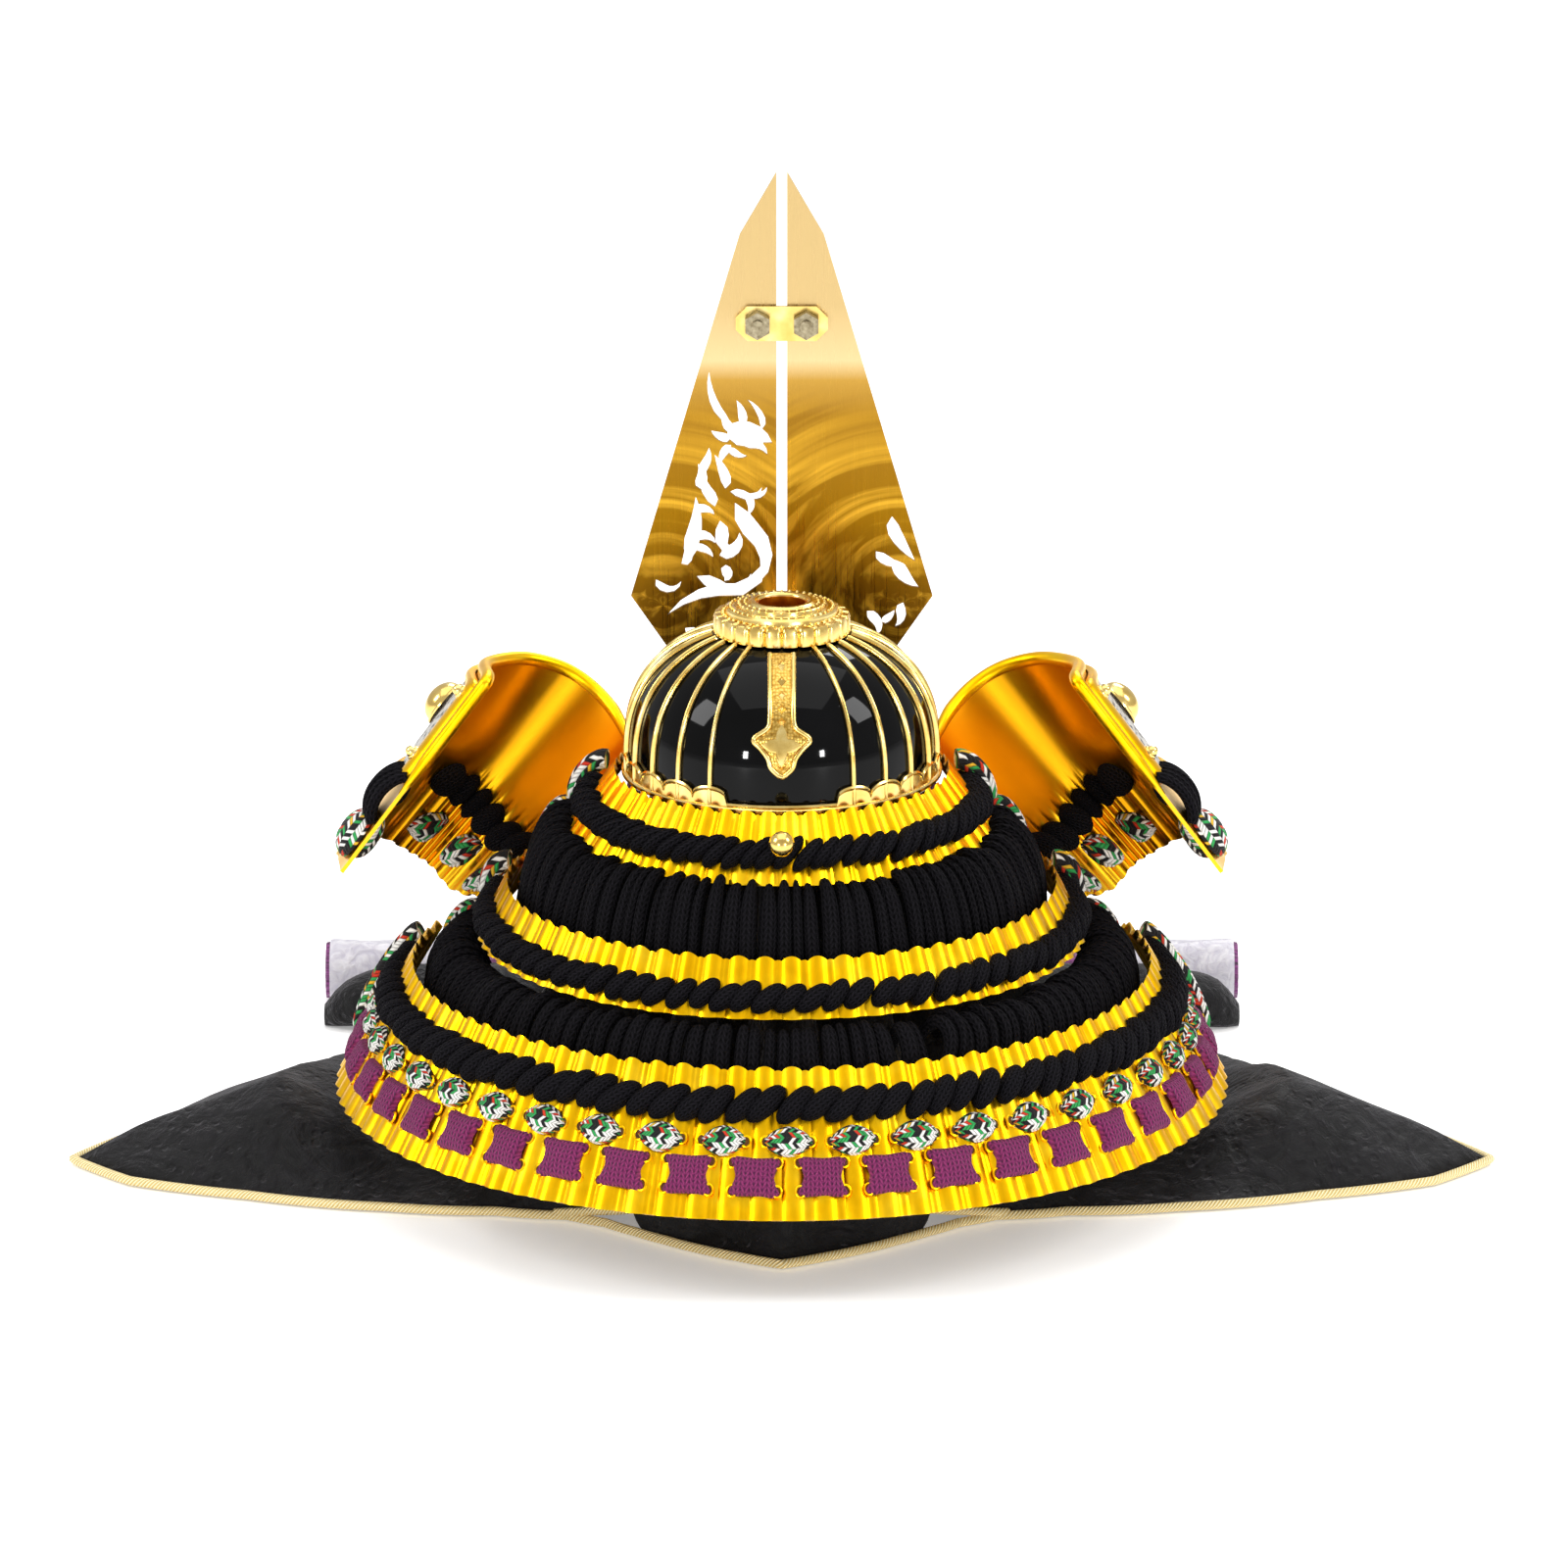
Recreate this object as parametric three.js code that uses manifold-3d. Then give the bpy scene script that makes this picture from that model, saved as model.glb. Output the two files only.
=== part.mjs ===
// Ornamental kabuto (samurai helmet), reduced display size, on a cloth-covered post stand.
// Millimetres. Origin: centre of the stand's foot on the floor.
// +X is the wearer's right, +Y the wearer's front, +Z up. Azimuths are measured from the back (-Y),
// positive towards +X, so the front is 180 degrees.

import * as THREE from 'three';
import { mergeVertices } from 'three/addons/utils/BufferGeometryUtils.js';
import Module from 'manifold-3d';

const wasm = await Module();
wasm.setup();

// ---------------------------------------------------------------- driving sizes

const GAP = 0.3;                      // clearance between touching pieces

// Bowl: a superellipse dome on a short waist
const BOWL_RADIUS = 34.6;
const BOWL_BASE_Z = 93;
const BOWL_WAIST_Z = 98;              // widest level
const BOWL_RISE = 29;                 // waist to crown
const BOWL_POWER = 2.4;               // superellipse exponent
const BOWL_WALL = 1.6;
const CROWN_HOLE_RADIUS = 5;

const RIB_WIDTH = 1.3;
const RIB_HEIGHT = 0.9;
const RIB_FIRST_AZIMUTH = 27;         // ribs stand at +-(first + k * pitch)
const RIB_PITCH = 14;
const RIBS_PER_SIDE = 10;
const RING_HEIGHT = 1.6;              // base ring of the rib cage
const PETAL_HEIGHT = 4.2;

const VISOR_SPAN = 48;                // half span of the peak, degrees

const FINIAL_RADIUS = 15.4;
const FINIAL_FLUTES = 12;

// Crest
const CREST_Y = 40;
const CREST_THICKNESS = 1;
const BLADE_FOOT_Z = 93.4;
const CREST_SPLIT = 2.4;              // open slit between the blades
const NUT_ACROSS_CORNERS = 6.35;      // M3
const NUT_THICKNESS = 2.4;
const NUT_SPACING = 11;
const NUT_Z = 187;
const BOLT_RADIUS = 1.5;

// Neck guard. Each lame is a cone band: top and bottom radius and height on its outer face
const LAME_WALL = 0.9;
const SCALE_DEPTH = 0.5;              // saw-tooth relief of the pressed scales
const LAMES = [
  // name, top radius, top z, bottom radius, bottom z, half span (deg), scales
  { name: 'neck_lame_1', rTop: 37.8, zTop: 93.6, rBottom: 47.5, zBottom: 80.4, span: 115, scales: 36 },
  { name: 'neck_lame_2', rTop: 62.0, zTop: 67.5, rBottom: 68.2, zBottom: 56.1, span: 112, scales: 46 },
  { name: 'neck_lame_3', rTop: 83.4, zTop: 49.0, rBottom: 100.4, zBottom: 20.5, span: 110, scales: 56 },
];
const ROPES = [
  // lame index, distance of the rope's middle below the lame's top edge, rope width, height, twists
  { name: 'rope_1', lame: 0, down: 8.6, width: 8.4, height: 3.6, twists: 30 },
  { name: 'rope_2', lame: 1, down: 7.6, width: 7.2, height: 3.4, twists: 36 },
  { name: 'rope_3', lame: 2, down: 8.2, width: 7.8, height: 3.4, twists: 44 },
];
const STITCHES = [
  // name, distance below the top edge of the lowest lame, height, relief, count, first azimuth
  { name: 'stitches_mixed', down: 15.9, height: 6.0, relief: 2.2, count: 25, first: -104.7 },
  { name: 'stitches_purple', down: 23.8, height: 8.0, relief: 2.4, count: 24, first: -100.3 },
];
const STITCH_PITCH = 8.8;             // degrees
const ROPE_SPAN = 108;                // half span of ropes, lacing and stitches
const KNOB_RADIUS = 3;

// Turn-backs (right side; the left one is its mirror image). Each row is one vertical line of the
// plate, from the lame's end round the forward curl to the free edge: its top and its bottom point
const TURNBACK_WALL = 0.9;
const TURNBACK_COLUMNS = [
  // top x, y, z, bottom x, y, z
  [33.0, 20.0, 92.0, 62.0, 30.0, 54.0],
  [35.0, 30.0, 93.0, 68.0, 38.0, 52.0],
  [38.5, 38.0, 97.0, 75.6, 45.0, 52.0],
  [44.0, 43.0, 101.5, 81.0, 50.0, 56.7],
  [50.0, 44.5, 105.0, 86.0, 50.0, 60.0],
  [58.5, 41.5, 108.2, 92.6, 43.5, 65.3],
  [67.0, 29.0, 110.4, 100.4, 29.0, 66.6],
  [66.2, 8.0, 112.4, 99.8, 8.0, 67.2],
];

// Cloth: reach of the hem along each azimuth (right half; the left half mirrors it), and the tent
const CLOTH_WALL = 1.6;
const FLOOR_GAP = 0.3;                // cloth and cord lie this far above the floor's plane
const CLOTH_TOP_Z = 124.1;
const HEM = [
  // azimuth (deg from the back), reach
  [0, 73], [8, 68.5], [16, 65], [24, 62], [32, 60], [41, 59], [50, 61.5], [60, 73], [69, 94], [78, 122],
  [84, 147], [90, 160], [96, 150], [104, 137], [112, 127], [120, 122], [128, 123], [136, 139],
  [146, 124], [157, 110.5], [168, 103], [180, 101],
];
const LOBE = { from: 66, to: 148, fade: 25, startRadius: 88, rise: 20 };   // side lobes' ridges
const TENT = [
  // radius, height of the upper face
  [10, 124.1], [14.5, 121.5], [18, 112], [24, 92], [33, 66], [45, 41], [59, 20.5],
];
const ROLL_Y = 107;                   // far edge, folded under into a soft roll
const ROLL_HALF_LENGTH = 108;
const ROLL_HALF_DEPTH = 9.5;
const ROLL_HEIGHT = 14;
const PIPING_RADIUS = 1.4;
const PIPING_SPAN = 121;              // degrees each way from the back

// Chin cord and tassels. Route of the right riser and the right tail
const CORD_RADIUS = 2.5;
const KNOT_CENTRE = [0, 133, 6];
const TASSEL_RADIUS = 7;
const TASSEL_LENGTH = 46;
const TASSEL_END_X = 109;
const TASSEL_Y = 128;

const STAND_FOOT_RADIUS = 45;
const STAND_FOOT_HEIGHT = 6;
const STAND_POST_RADIUS = 8;
const STAND_TOP_Z = 122.2;

// ---------------------------------------------------------------- materials

function finish(color, roughness, metalness) {
  return new THREE.MeshStandardMaterial({ color, roughness, metalness });
}

const blackLacquer = finish(0x0a0a0c, 0.12, 0.1);
const paleGold = finish(0xd9b45b, 0.28, 1);
const yellowGold = finish(0xf5b800, 0.25, 1);
const bronzeGold = finish(0xa8741a, 0.3, 1);
const steel = finish(0x77706a, 0.45, 1);
const blackCord = finish(0x141216, 0.9, 0);
const mixedCord = finish(0xb8b4aa, 0.85, 0);
const purpleCord = finish(0x6e2d64, 0.85, 0);
const printedLeather = finish(0xc9c6c0, 0.6, 0);
const blackPlush = finish(0x0c0b0d, 0.95, 0);
const goldPiping = finish(0xe8ce84, 0.5, 0.4);
const wood = finish(0xb08a5a, 0.7, 0);

// ---------------------------------------------------------------- geometry helpers

const rad = THREE.MathUtils.degToRad;

// Point at radius r and azimuth (degrees from the back) and height z
function polar(r, azimuth, z) {
  return new THREE.Vector3(r * Math.sin(rad(azimuth)), -r * Math.cos(rad(azimuth)), z);
}

function evenly(from, to, steps) {
  return Array.from({ length: steps + 1 }, (_, i) => from + ((to - from) * i) / steps);
}

// Value of a table of [key, value] rows at key, on a smooth curve that does not overshoot
function tableAt(rows, key) {
  let i = rows.findIndex((row) => row[0] >= key);
  if (i <= 0) return i === 0 ? rows[0][1] : rows[rows.length - 1][1];
  const [k0, v0] = rows[i - 1];
  const [k1, v1] = rows[i];
  return v0 + ((v1 - v0) * (key - k0)) / (k1 - k0);
}

// Triangles of a planar outline of 3-D points
function capTriangles(points) {
  const normal = new THREE.Vector3();
  points.forEach((p, i) => {
    const q = points[(i + 1) % points.length];
    normal.x += (p.y - q.y) * (p.z + q.z);
    normal.y += (p.z - q.z) * (p.x + q.x);
    normal.z += (p.x - q.x) * (p.y + q.y);
  });
  normal.normalize();
  const across = new THREE.Vector3().subVectors(points[1], points[0]).normalize();
  const up = new THREE.Vector3().crossVectors(normal, across);
  const flat = points.map((p) => new THREE.Vector2(p.dot(across), p.dot(up)));
  return THREE.ShapeUtils.triangulateShape(flat, []);
}

function signedVolume(positions, index) {
  const at = (i) => new THREE.Vector3().fromArray(positions, 3 * i);
  let volume = 0;
  for (let t = 0; t < index.length; t += 3) {
    volume += at(index[t]).dot(at(index[t + 1]).cross(at(index[t + 2]))) / 6;
  }
  return volume;
}

function indexedGeometry(positions, index) {
  const outward = signedVolume(positions, index) > 0;
  const faces = outward ? index : index.map((_, i) => index[i - (i % 3) + 2 - (i % 3)]);
  const geometry = new THREE.BufferGeometry();
  geometry.setAttribute('position', new THREE.Float32BufferAttribute(positions, 3));
  geometry.setIndex(faces);
  return geometry;
}

// Closed solid through a list of sections, each a closed outline of the same number of points.
// ring: the last section joins the first, otherwise both ends are capped
function loft(sections, ring = false) {
  const count = sections[0].length;
  const positions = sections.flat().flatMap((p) => [p.x, p.y, p.z]);
  const index = [];
  const joints = ring ? sections.length : sections.length - 1;
  for (let s = 0; s < joints; s++) {
    const here = s * count;
    const next = ((s + 1) % sections.length) * count;
    for (let i = 0; i < count; i++) {
      const j = (i + 1) % count;
      index.push(here + i, next + i, next + j, here + i, next + j, here + j);
    }
  }
  if (!ring) {
    const last = (sections.length - 1) * count;
    for (const [a, b, c] of capTriangles(sections[0])) index.push(a, b, c);
    for (const [a, b, c] of capTriangles(sections[0])) index.push(last + c, last + b, last + a);
  }
  return indexedGeometry(positions, index);
}

// Sweep of an (r, z) outline round the vertical axis; outline(azimuth) gives [r, z] pairs
function sweepRound(azimuths, outline, ring = false) {
  return loft(azimuths.map((a) => outline(a).map(([r, z]) => polar(r, a, z))), ring);
}

function welded(geometry) {
  const copy = geometry.clone();
  copy.deleteAttribute('normal');
  copy.deleteAttribute('uv');
  return mergeVertices(copy, 1e-5);
}

function toSolid(geometry) {
  const shape = welded(geometry);
  const vertProperties = new Float32Array(shape.attributes.position.array);
  const triVerts = new Uint32Array(shape.index.array);
  return new wasm.Manifold(new wasm.Mesh({ numProp: 3, vertProperties, triVerts }));
}

function toGeometry(solid) {
  const mesh = solid.getMesh();
  const geometry = new THREE.BufferGeometry();
  geometry.setAttribute('position', new THREE.Float32BufferAttribute(mesh.vertProperties, 3));
  geometry.setIndex(Array.from(mesh.triVerts));
  return geometry;
}

function joined(geometries) {
  return toGeometry(geometries.map(toSolid).reduce((all, one) => all.add(one)));
}

function cut(geometry, tools) {
  return toGeometry(tools.map(toSolid).reduce((rest, tool) => rest.subtract(tool), toSolid(geometry)));
}

function box(x0, x1, y0, y1, z0, z1) {
  return new THREE.BoxGeometry(x1 - x0, y1 - y0, z1 - z0)
    .translate((x0 + x1) / 2, (y0 + y1) / 2, (z0 + z1) / 2);
}

// Flat plate in the XZ plane: an outline of [x, z] points, centred on the plane y, thickness t
function platePoints(points, y, t) {
  const shape = new THREE.Shape(points.map(([x, z]) => new THREE.Vector2(x, z)));
  return new THREE.ExtrudeGeometry(shape, { depth: t, bevelEnabled: false })
    .rotateX(Math.PI / 2)
    .translate(0, y + t / 2, 0);
}

// Round or polygonal tube along a smooth curve through points
function tube(points, radius, sides, steps) {
  const circle = new THREE.Shape();
  circle.absarc(0, 0, radius, 0, 2 * Math.PI);
  const curve = new THREE.CatmullRomCurve3(points.map((p) => new THREE.Vector3(...p)));
  const outline = new THREE.Shape(circle.getSpacedPoints(sides).slice(0, sides));
  return new THREE.ExtrudeGeometry(outline, { steps, extrudePath: curve });
}

const mirrorX = (geometry) => {
  const copy = welded(geometry);
  copy.scale(-1, 1, 1);
  return indexedGeometry(Array.from(copy.attributes.position.array), Array.from(copy.index.array));
};

// ---------------------------------------------------------------- the assembly

const kabuto = new THREE.Group();
kabuto.name = 'kabuto';

function add(name, geometry, material, parent = kabuto) {
  const mesh = new THREE.Mesh(geometry, material);
  mesh.name = name;
  parent.add(mesh);
  return mesh;
}

// Adds a piece made for the right side and its mirror image for the left
function addPair(name, geometry, material) {
  add(`${name}_right`, geometry, material);
  add(`${name}_left`, mirrorX(geometry), material);
}

// ---------------------------------------------------------------- bowl

// Outer (r, z) of the bowl offset outwards by `off`; turn 0 is the waist, 90 the crown
function bowlPoint(turn, off = 0) {
  const c = Math.cos(rad(turn));
  const s = Math.sin(rad(turn));
  const r = BOWL_RADIUS * c ** (2 / BOWL_POWER);
  const z = BOWL_WAIST_Z + BOWL_RISE * s ** (2 / BOWL_POWER);
  const nr = (r / BOWL_RADIUS) ** (BOWL_POWER - 1) / BOWL_RADIUS;
  const nz = ((z - BOWL_WAIST_Z) / BOWL_RISE) ** (BOWL_POWER - 1) / BOWL_RISE;
  const length = Math.hypot(nr, nz);
  return [r + (off * nr) / length, z + (off * nz) / length];
}

// Turn at which the bowl's outer face has the given radius or height
const turnAtRadius = (r) => THREE.MathUtils.radToDeg(Math.acos((r / BOWL_RADIUS) ** (BOWL_POWER / 2)));
const turnAtHeight = (z) => THREE.MathUtils.radToDeg(
  Math.asin(((z - BOWL_WAIST_Z) / BOWL_RISE) ** (BOWL_POWER / 2)));

// Levels of the dome's facets, shared by everything that lies on it
const DOME_TURNS = [0, 20, 40, 58];

function bowl() {
  const crown = turnAtRadius(CROWN_HOLE_RADIUS);
  const turns = [...DOME_TURNS, 73, crown];
  const outer = [[BOWL_RADIUS - 0.4, BOWL_BASE_Z], ...turns.map((t) => bowlPoint(t))];
  const inner = [[BOWL_RADIUS - 0.4 - BOWL_WALL, BOWL_BASE_Z], ...turns.map((t) => bowlPoint(t, -BOWL_WALL))];
  const profile = [...outer, ...inner.reverse(), outer[0]];
  return new THREE.LatheGeometry(profile.map(([r, z]) => new THREE.Vector2(r, z)), 24).rotateX(Math.PI / 2);
}

// One gold rib up the side of the dome
function rib(azimuth) {
  const turns = [...DOME_TURNS, turnAtRadius(FINIAL_RADIUS + 0.7)];
  const inside = GAP;
  const outside = GAP + RIB_HEIGHT;
  const bottom = [[BOWL_RADIUS + inside, BOWL_BASE_Z + 0.5], [BOWL_RADIUS + outside, BOWL_BASE_Z + 0.5]];
  const levels = [bottom, ...turns.map((t) => [bowlPoint(t, inside), bowlPoint(t, outside)])];
  const half = (r) => THREE.MathUtils.radToDeg(RIB_WIDTH / 2 / r);
  const sections = levels.map(([low, high]) => [
    polar(low[0], azimuth - half(low[0]), low[1]),
    polar(high[0], azimuth, high[1]),
    polar(low[0], azimuth + half(low[0]), low[1]),
  ]);
  return loft(sections);
}

// Base ring whose upper edge rises in one petal at each rib
function petalRing() {
  const lastRib = RIB_FIRST_AZIMUTH + RIB_PITCH * (RIBS_PER_SIDE - 1);
  const firstPetal = RIB_FIRST_AZIMUTH - RIB_PITCH / 2;
  const petals = evenly(firstPetal, lastRib + RIB_PITCH / 2, 2 * RIBS_PER_SIDE);
  const rightSide = [0, firstPetal / 2, ...petals, 180 - firstPetal / 2];
  const azimuths = [...rightSide, 180, ...rightSide.slice(1).reverse().map((a) => 360 - a)];
  return sweepRound(azimuths, (azimuth) => {
    const side = Math.min(azimuth, 360 - azimuth);
    const fromRib = Math.abs((side - RIB_FIRST_AZIMUTH) % RIB_PITCH);
    const atRib = side >= RIB_FIRST_AZIMUTH && side <= lastRib && fromRib < 0.01;
    const rise = atRib ? PETAL_HEIGHT : 0;
    const top = BOWL_BASE_Z + RING_HEIGHT + rise;
    const inner = BOWL_RADIUS + GAP;
    return [[inner, BOWL_BASE_Z], [inner + 0.9, BOWL_BASE_Z], [inner + 0.7, top], [inner, top]];
  }, true);
}

function ribCage() {
  const azimuths = evenly(0, RIBS_PER_SIDE - 1, RIBS_PER_SIDE - 1)
    .map((k) => RIB_FIRST_AZIMUTH + RIB_PITCH * k);
  return joined([petalRing(), ...azimuths.flatMap((a) => [rib(a), rib(-a)])]);
}

// Crown fitting: fluted skirt, two low tiers and an open rolled ring
function finial() {
  const [rimR, rimZ] = bowlPoint(turnAtRadius(FINIAL_RADIUS - 1.2), GAP);
  const [midR, midZ] = bowlPoint(turnAtRadius(9), GAP);
  const flute = (azimuth, depth) => depth * Math.cos(rad(azimuth * FINIAL_FLUTES));
  return sweepRound(evenly(-180, 180, 2 * FINIAL_FLUTES).slice(0, -1), (azimuth) => [
    [CROWN_HOLE_RADIUS + 0.4, 127.4],
    [midR, midZ],
    [rimR, rimZ],
    [FINIAL_RADIUS + flute(azimuth, 0.4), rimZ + 0.2],
    [FINIAL_RADIUS + flute(azimuth, 0.3), 129.2],
    [11.0, 131.0],
    [6.8, 132.5],
    [CROWN_HOLE_RADIUS + 0.6, 131.8],
  ], true);
}

// Strip down the dome that ends in a leaf. Rows: height, half width
const SPEAR = [
  [124.6, 3.1], [123.2, 3.1], [118, 3.1], [113, 3.2], [111.6, 3.6], [109.9, 6.4], [109, 6.8], [107.6, 5.4],
  [105.6, 4.6], [103.4, 2.6], [101.4, 0.4],
];

function spearStrip(azimuth) {
  const sections = SPEAR.map(([z, half]) => {
    const turn = turnAtHeight(z);
    const low = bowlPoint(turn, GAP);
    const high = bowlPoint(turn, GAP + 1);
    const spread = (r) => THREE.MathUtils.radToDeg(half / r);
    return [
      polar(low[0], azimuth - spread(low[0]), low[1]),
      polar(high[0], azimuth - spread(high[0]), high[1]),
      polar(high[0] + 0.3, azimuth, high[1] + 0.2),
      polar(high[0], azimuth + spread(high[0]), high[1]),
      polar(low[0], azimuth + spread(low[0]), low[1]),
      polar(low[0], azimuth, low[1]),
    ];
  });
  return loft(sections);
}

// Peak at the front: a curved plate that slopes down and forward from the bowl's base
function visor() {
  return sweepRound(evenly(180 - VISOR_SPAN, 180 + VISOR_SPAN, 12), (azimuth) => {
    const reach = 12 * Math.cos(rad((azimuth - 180) * 1.3)) + 3;
    const inner = BOWL_RADIUS + 1.6;
    return [[inner, 91.6], [inner + reach, 91.6 - reach * 0.5],
      [inner + reach, 92.6 - reach * 0.5], [inner, 92.6]];
  });
}

add('bowl', bowl(), blackLacquer);
add('rib_cage', ribCage(), paleGold);
add('tehen_finial', finial(), paleGold);
add('spear_strip_rear', spearStrip(0), paleGold);
add('spear_strip_front', spearStrip(180), paleGold);
add('visor', visor(), blackLacquer);

// ---------------------------------------------------------------- crest

// One tapered stroke of a cut-out: it starts at (x, z), runs along `heading` (degrees from +X
// towards +Z), turns by `bendA` over its first half and `bendB` over its second, and swells to
// `width` near its start
function lick([x, z, heading, length, bendA, bendB, width]) {
  const STATIONS = 6;
  const left = [];
  const right = [];
  let [px, pz, angle] = [x, z, rad(heading)];
  for (let i = 0; i <= STATIONS; i++) {
    const u = i / STATIONS;
    const half = (width / 2) * Math.sin(Math.PI * u ** 0.62) ** 0.85 + 0.02;
    left.push([px - half * Math.sin(angle), pz + half * Math.cos(angle)]);
    right.push([px + half * Math.sin(angle), pz - half * Math.cos(angle)]);
    angle += rad(u < 0.5 ? bendA : bendB) / (STATIONS / 2);
    px += (length / STATIONS) * Math.cos(angle);
    pz += (length / STATIONS) * Math.sin(angle);
  }
  return [...left, ...right.reverse()];
}

const LEFT_LICKS = [
  // x, z, heading, length, bend of first half, bend of second half, width
  [-12.6, 160.5, 20, 11.0, -20, -35, 6.0],      // brow and snout
  [-11.5, 163.5, 150, 13.5, -35, -25, 1.9],     // long horn
  [-9.0, 163.0, 70, 6.2, 30, 20, 2.0],          // mane
  [-11.0, 161.5, 140, 5.2, -20, -15, 2.2],
  [-11.5, 160.0, 185, 5.0, -25, -20, 2.2],
  [-11.5, 158.5, 215, 5.2, 20, 30, 2.0],
  [-4.6, 162.0, 60, 8.4, 55, 25, 1.4],          // nose horn
  [-12.0, 158.0, -60, 5.0, 25, 40, 1.8],        // beard
  [-9.2, 159.6, -35, 7.2, 30, -60, 2.4],        // jaw
  [-18.2, 148.0, 110, 6.4, -35, 50, 2.6],       // flames by the neck
  [-17.6, 151.5, 120, 6.6, -60, 30, 2.2],
  [-12.8, 148.2, 70, 8.6, 40, 10, 2.4],
  [-15.2, 144.0, 95, 9.0, 30, -40, 2.6],
  [-11.8, 147.6, 0, 8.6, -25, 90, 2.0],         // claw
  [-7.6, 146.6, -10, 5.2, 20, 60, 1.6],
  [-8.0, 147.0, -50, 5.4, -25, -50, 1.8],
  [-22.8, 130.6, 10, 6.0, 70, 30, 2.2],         // foreleg
  [-20.8, 131.5, 95, 15.0, -20, 20, 3.4],
  [-20.2, 143.0, 40, 5.6, -40, -50, 2.2],
  [-20.6, 137.0, 20, 6.4, -20, -60, 2.4],
  [-20.2, 134.6, 10, 5.6, -30, -40, 2.0],
  [-10.6, 145.0, -70, 22.0, 20, -70, 4.2],      // tail: outer sweep
  [-3.9, 131.0, -85, 27.0, -95, 40, 3.4],
  [-14.0, 140.8, -70, 10.5, -25, 130, 3.0],     // tail: inner curls
  [-14.2, 132.6, 5, 8.0, 30, 60, 3.0],
  [-13.8, 129.6, 0, 4.2, -60, -80, 2.6],
  [-19.4, 127.8, -20, 15.5, -10, 100, 3.0],
  [-28.6, 127.0, -80, 7.6, 60, 80, 1.9],        // loose flames low on the blade
  [-22.0, 115.6, -55, 8.0, 50, 30, 2.8],
];
const RIGHT_LICKS = [
  [25.0, 141.8, -100, 12.0, 40, 10, 3.0],
  [21.4, 133.6, -60, 8.0, 30, 30, 2.4],
  [25.8, 131.6, -75, 8.6, 20, 25, 3.2],
  [27.6, 121.6, -130, 6.4, 50, -60, 2.2],
  [19.4, 119.6, -40, 6.8, -10, -60, 2.4],
  [22.6, 117.0, 20, 4.2, 20, 20, 1.8],
];

// Half outline of the crest from the inner top point, clockwise for the right blade
const slitHalf = CREST_SPLIT / 2;
const BLADE_OUTLINE = [
  [slitHalf, 221.7], [9.5, 207.3], [34.3, 123.2], [25.2, 109.9], [9.6, 97], [8.6, BLADE_FOOT_Z],
  [slitHalf, BLADE_FOOT_Z],
];

function blade(side, licks) {
  const outline = BLADE_OUTLINE.map(([x, z]) => [side * x, z]);
  if (side < 0) outline.reverse();
  const plate = platePoints(outline, CREST_Y, CREST_THICKNESS);
  const boltHole = new THREE.CylinderGeometry(BOLT_RADIUS + GAP, BOLT_RADIUS + GAP, 4, 10)
    .translate((side * NUT_SPACING) / 2, CREST_Y, NUT_Z);
  return cut(plate, [boltHole, ...licks.map((row) => platePoints(lick(row), CREST_Y, 3))]);
}

// Strip across both blades on the wearer's side, with its bolt holes
function bracket() {
  const back = CREST_Y - CREST_THICKNESS / 2 - GAP;
  const [reach, up, corner] = [10.4, 4, 2.6];
  const outline = [
    [-reach + corner, up], [reach - corner, up], [reach, up - corner], [reach, corner - up],
    [reach - corner, -up], [-reach + corner, -up], [-reach, corner - up], [-reach, up - corner],
  ].map(([x, z]) => [x, z + NUT_Z]);
  const plate = platePoints(outline, back - 0.5, 1);
  const holes = [-1, 1].map((side) => new THREE.CylinderGeometry(BOLT_RADIUS + GAP, BOLT_RADIUS + GAP, 4, 10)
    .translate((side * NUT_SPACING) / 2, back, NUT_Z));
  return cut(plate, holes);
}

// Nut with the bolt through it and the bolt's flat head on the crest's front
function nutAndBolt(side) {
  const nutFront = CREST_Y - CREST_THICKNESS / 2 - 1 - 2 * GAP;
  const nut = new THREE.CylinderGeometry(NUT_ACROSS_CORNERS / 2, NUT_ACROSS_CORNERS / 2, NUT_THICKNESS, 6)
    .translate(0, nutFront - NUT_THICKNESS / 2, 0);
  const headBack = CREST_Y + CREST_THICKNESS / 2 + GAP;
  const boltStart = nutFront - NUT_THICKNESS - 0.8;
  const bolt = new THREE.CylinderGeometry(BOLT_RADIUS, BOLT_RADIUS, headBack + 1 - boltStart, 8)
    .translate(0, (headBack + 1 + boltStart) / 2, 0);
  const head = new THREE.CylinderGeometry(2.6, 2.6, 1.4, 10).translate(0, headBack + 0.7, 0);
  return joined([nut, bolt, head]).translate((side * NUT_SPACING) / 2, 0, NUT_Z);
}

// Holder on the visor: a block with a slot that takes the blades' feet
function socket() {
  const slotHalf = CREST_THICKNESS / 2 + GAP;
  const block = box(-12, 12, CREST_Y - 2.4, CREST_Y + 2.4, BLADE_FOOT_Z - 1.2, 101);
  const slot = box(-13, 13, CREST_Y - slotHalf, CREST_Y + slotHalf, BLADE_FOOT_Z - GAP, 102);
  return cut(block, [slot]);
}

add('crest_blade_left', blade(-1, LEFT_LICKS), bronzeGold);
add('crest_blade_right', blade(1, RIGHT_LICKS), bronzeGold);
add('crest_bracket', bracket(), paleGold);
add('crest_nut_left', nutAndBolt(-1), steel);
add('crest_nut_right', nutAndBolt(1), steel);
add('crest_socket', socket(), paleGold);

// ---------------------------------------------------------------- neck guard

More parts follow.
